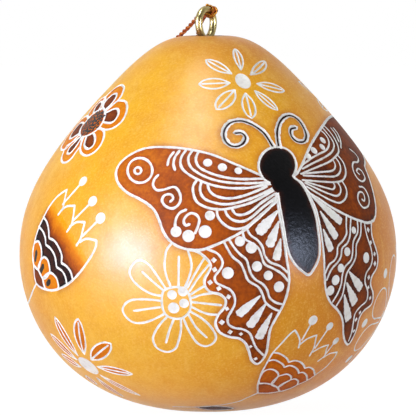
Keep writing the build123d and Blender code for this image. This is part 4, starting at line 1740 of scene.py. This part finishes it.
def make_knot(materials):
    """Wraps round the wire, with the strands and cut ends beside them."""
    wraps = []
    for share in np.linspace(0, 1, KNOT_POINTS):
        turn = 2 * math.pi * KNOT_TURNS * share + KNOT_START_TURN
        angle = KNOT_FROM + (KNOT_TO - KNOT_FROM) * share
        out, across = KNOT_WRAP_RADIUS * math.cos(turn), KNOT_WRAP_RADIUS * math.sin(turn)
        wraps.append(on_ring(angle, out, across))
    lines = [np.array(wraps)]
    for handles in KNOT_STRANDS:
        nodes = [on_ring(math.radians(angle), out, across) for angle, out, across in handles]
        lines.append(bezier(nodes, TAIL_POINTS))
    return cord_piece_of(
        "knot_wraps", lines, KNOT_CORD_DIAMETER, materials, "eye", "hanger_knot",
        KNOT_STRAND_PITCH,
    )


def make_loop_ends(materials, loop):
    """Carries both ends of the loop on into the knot."""
    middle = on_ring(KNOT_ANGLE)
    lines = []
    for end, before in ((loop[0], loop[1]), (loop[-1], loop[-2])):
        ahead = (end - before) / np.linalg.norm(end - before)
        outward = (end - middle) / np.linalg.norm(end - middle)
        goal = middle + LOOP_END_OUT * outward
        nodes = [
            end - LOOP_END_BACK * ahead, end + LOOP_END_AHEAD * ahead,
            goal + LOOP_END_BEND * outward, goal,
        ]
        lines.append(bezier(nodes, TAIL_POINTS))
    return cord_piece_of("loop_ends", lines, CORD_DIAMETER, materials, "loop", "hanger_cord")


# Camera, stage and light. A lamp is its name, place, aim, size across and up, and power.
COOL_LIGHT = (0.66, 0.75, 1.0)
BLUE_LIGHT = (0.55, 0.57, 1.0)
GOURD_MIDDLE = (0, 0, 0.042)
SOFT_LAMPS = [
    ("key", (-0.70, -0.73, 0.19), GOURD_MIDDLE, (0.50, 0.60), 5.85),
    ("top", (-0.34, -0.50, 0.84), GOURD_MIDDLE, (0.7, 0.7), 3.1),
    ("fill", (0.90, -0.34, 0.14), GOURD_MIDDLE, (0.30, 0.40), 1.9),
]
# These show only in gloss, and have a colour too
SHEEN_LAMPS = [
    ("soft_glow", (-0.381, -0.365, 0.050), GOURD_MIDDLE, (0.27, 0.265), 16, BLUE_LIGHT),
    ("upper_glow", (-0.065, -0.15, 0.60), GOURD_MIDDLE, (0.20, 0.34), 3.6, COOL_LIGHT),
    ("mid_glow", (-0.36, -0.25, 0.25), GOURD_MIDDLE, (0.25, 0.25), 1.5, COOL_LIGHT),
    ("floor_glow", (-0.06, -0.10, 0.002), (-0.06, -0.10, 1.0), (0.12, 0.08), 0.2, COOL_LIGHT),
    ("side_glow", (0.431, -0.319, 0.066), GOURD_MIDDLE, (0.10, 0.11), 2.6, COOL_LIGHT),
]
WHITE = (1, 1, 1, 1)
# How bright the white room is where it lights things, and where gloss shows its front
ROOM_LIGHT = 0.30
ROOM_FRONT_IN_GLOSS = 0.22
ROOM_FRONT = -0.35
ROOM_BACK = 0.6
FLOOR_GLOW = 1.14
FLOOR_GLOW_SHARE = 0.85
FLOOR_HALF = 3.0
FLOOR_DROP = 0.00005


def make_camera():
    data = bpy.data.cameras.new("camera")
    data.sensor_width = SENSOR_WIDTH
    data.lens = focal_pixels * SENSOR_WIDTH / IMAGE_SIZE
    data.clip_end = CAMERA_REACH
    camera = bpy.data.objects.new("camera", data)
    camera.location = camera_place
    camera.rotation_euler = (math.pi / 2 - CAMERA_ELEVATION, 0, 0)
    bpy.context.scene.collection.objects.link(camera)
    bpy.context.scene.camera = camera


def area_light(name, place, aim, size, power, gloss_colour=None):
    data = bpy.data.lights.new(name, "AREA")
    data.shape = "ELLIPSE"
    data.size, data.size_y = size
    data.energy = power
    if gloss_colour:
        data.color = gloss_colour
    lamp = bpy.data.objects.new(name, data)
    lamp.location = place
    lamp.rotation_euler = (Vector(aim) - Vector(place)).to_track_quat("-Z", "Y").to_euler()
    lamp.visible_diffuse = not gloss_colour
    lamp.visible_glossy = bool(gloss_colour)
    lamp.visible_camera = False
    bpy.context.scene.collection.objects.link(lamp)


def make_room():
    """A white room, seen as it is, but dimmer as a light and, at its front, in gloss."""
    n = Nodes(bpy.data.worlds.new("studio"))
    bpy.context.scene.world = n.owner
    rays = n.add("ShaderNodeLightPath").outputs
    seen = n.math("MAXIMUM", rays["Is Camera Ray"], rays["Is Transmission Ray"])
    shown = n.math("MAXIMUM", seen, rays["Is Glossy Ray"])
    level = n.spread(shown, 0.0, 1.0, ROOM_LIGHT, 1.0)
    ways = n.add("ShaderNodeTexCoord").outputs["Generated"]
    ahead = n.add("ShaderNodeSeparateXYZ", {0: ways}).outputs["Y"]
    room = n.spread(ahead, ROOM_FRONT, ROOM_BACK, ROOM_FRONT_IN_GLOSS, 1.0)
    in_gloss = n.add("ShaderNodeMix", {"Factor": rays["Is Glossy Ray"], "A": 1.0, "B": room})
    back = n.tree.nodes["Background"].inputs
    n.set(back["Strength"], n.times(level, in_gloss.outputs["Result"]))
    n.set(back["Color"], WHITE)


def make_floor():
    """A pale floor that looks white to the camera and in gloss."""
    n = new_material("pale_floor")
    n.finish(Base_Color=colour(222, 222, 222), Roughness=0.9)
    glow = n.add("ShaderNodeEmission", {"Color": WHITE, "Strength": FLOOR_GLOW})
    rays = n.add("ShaderNodeLightPath").outputs
    seen = n.math("MAXIMUM", rays["Is Camera Ray"], rays["Is Glossy Ray"])
    seen = n.math("MAXIMUM", seen, rays["Is Transmission Ray"])
    share = n.times(seen, FLOOR_GLOW_SHARE)
    blend = n.add("ShaderNodeMixShader", {0: share, 1: n.shader.outputs[0], 2: glow.outputs[0]})
    n.set(n.tree.nodes["Material Output"].inputs["Surface"], blend.outputs[0])
    mesh = bpy.data.meshes.new("floor")
    corners = [(x * FLOOR_HALF, y * FLOOR_HALF, 0) for x, y in ((-1, -1), (1, -1), (1, 1), (-1, 1))]
    mesh.from_pydata(corners, [], [(0, 1, 2, 3)])
    mesh.materials.append(n.owner)
    floor = bpy.data.objects.new("floor", mesh)
    floor.location.z = -FLOOR_DROP
    bpy.context.scene.collection.objects.link(floor)


bpy.context.scene.view_settings.view_transform = "Standard"
make_camera()
make_room()
make_floor()
for lamp in SOFT_LAMPS + SHEEN_LAMPS:
    area_light(*lamp)

brown_thread = thread_material("brown_thread", (112, 44, 2), (186, 90, 14))
tan_thread = thread_material("tan_thread", (156, 70, 4), (220, 130, 30))
gold_thread = thread_material("gold_thread", (190, 112, 12), (246, 186, 74))
cord_piece, cord_line = make_cord([brown_thread, tan_thread])
knot_piece = make_knot([brown_thread, gold_thread])
ends_piece = make_loop_ends([brown_thread, tan_thread], cord_line)
tuple(cord_line[0])
[tuple(p) for p in cord_line]

shell_pieces = make_gourd({
    "skin": rind_material(),
    "white": carved_material(),
    "burnt": burnt_material(),
    "black": charred_material(),
})
shell_pieces.append(make_inside(fibrous_material(
    "rind_inside", (300, 5, 0.7), (168, 132, 84), (214, 186, 138), 0.9, (0.0004, 0.8)
)))
for shell_piece in shell_pieces:
    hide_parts("gourd_shell")

for node, material in (
    ("stem_core", wood_material()),
    ("screw_eye", brass_material()),
    ("dried_pith", fibrous_material(
        "dried_pith", (500, 5, 0.7, 0.0, (1, 1, 0.3)), (170, 140, 96), (222, 200, 156),
        0.95, (0.0004, 0.9),
    )),
    ("loose_seeds", fibrous_material(
        "gourd_seed", (350, 4, 0.6, 0.0, (1, 1, 0.4)), (150, 116, 70), (206, 176, 124),
        0.6, (0.0002, 0.6),
    )),
):
    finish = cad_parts[node].data.materials
    finish.clear()
    finish.append(material)
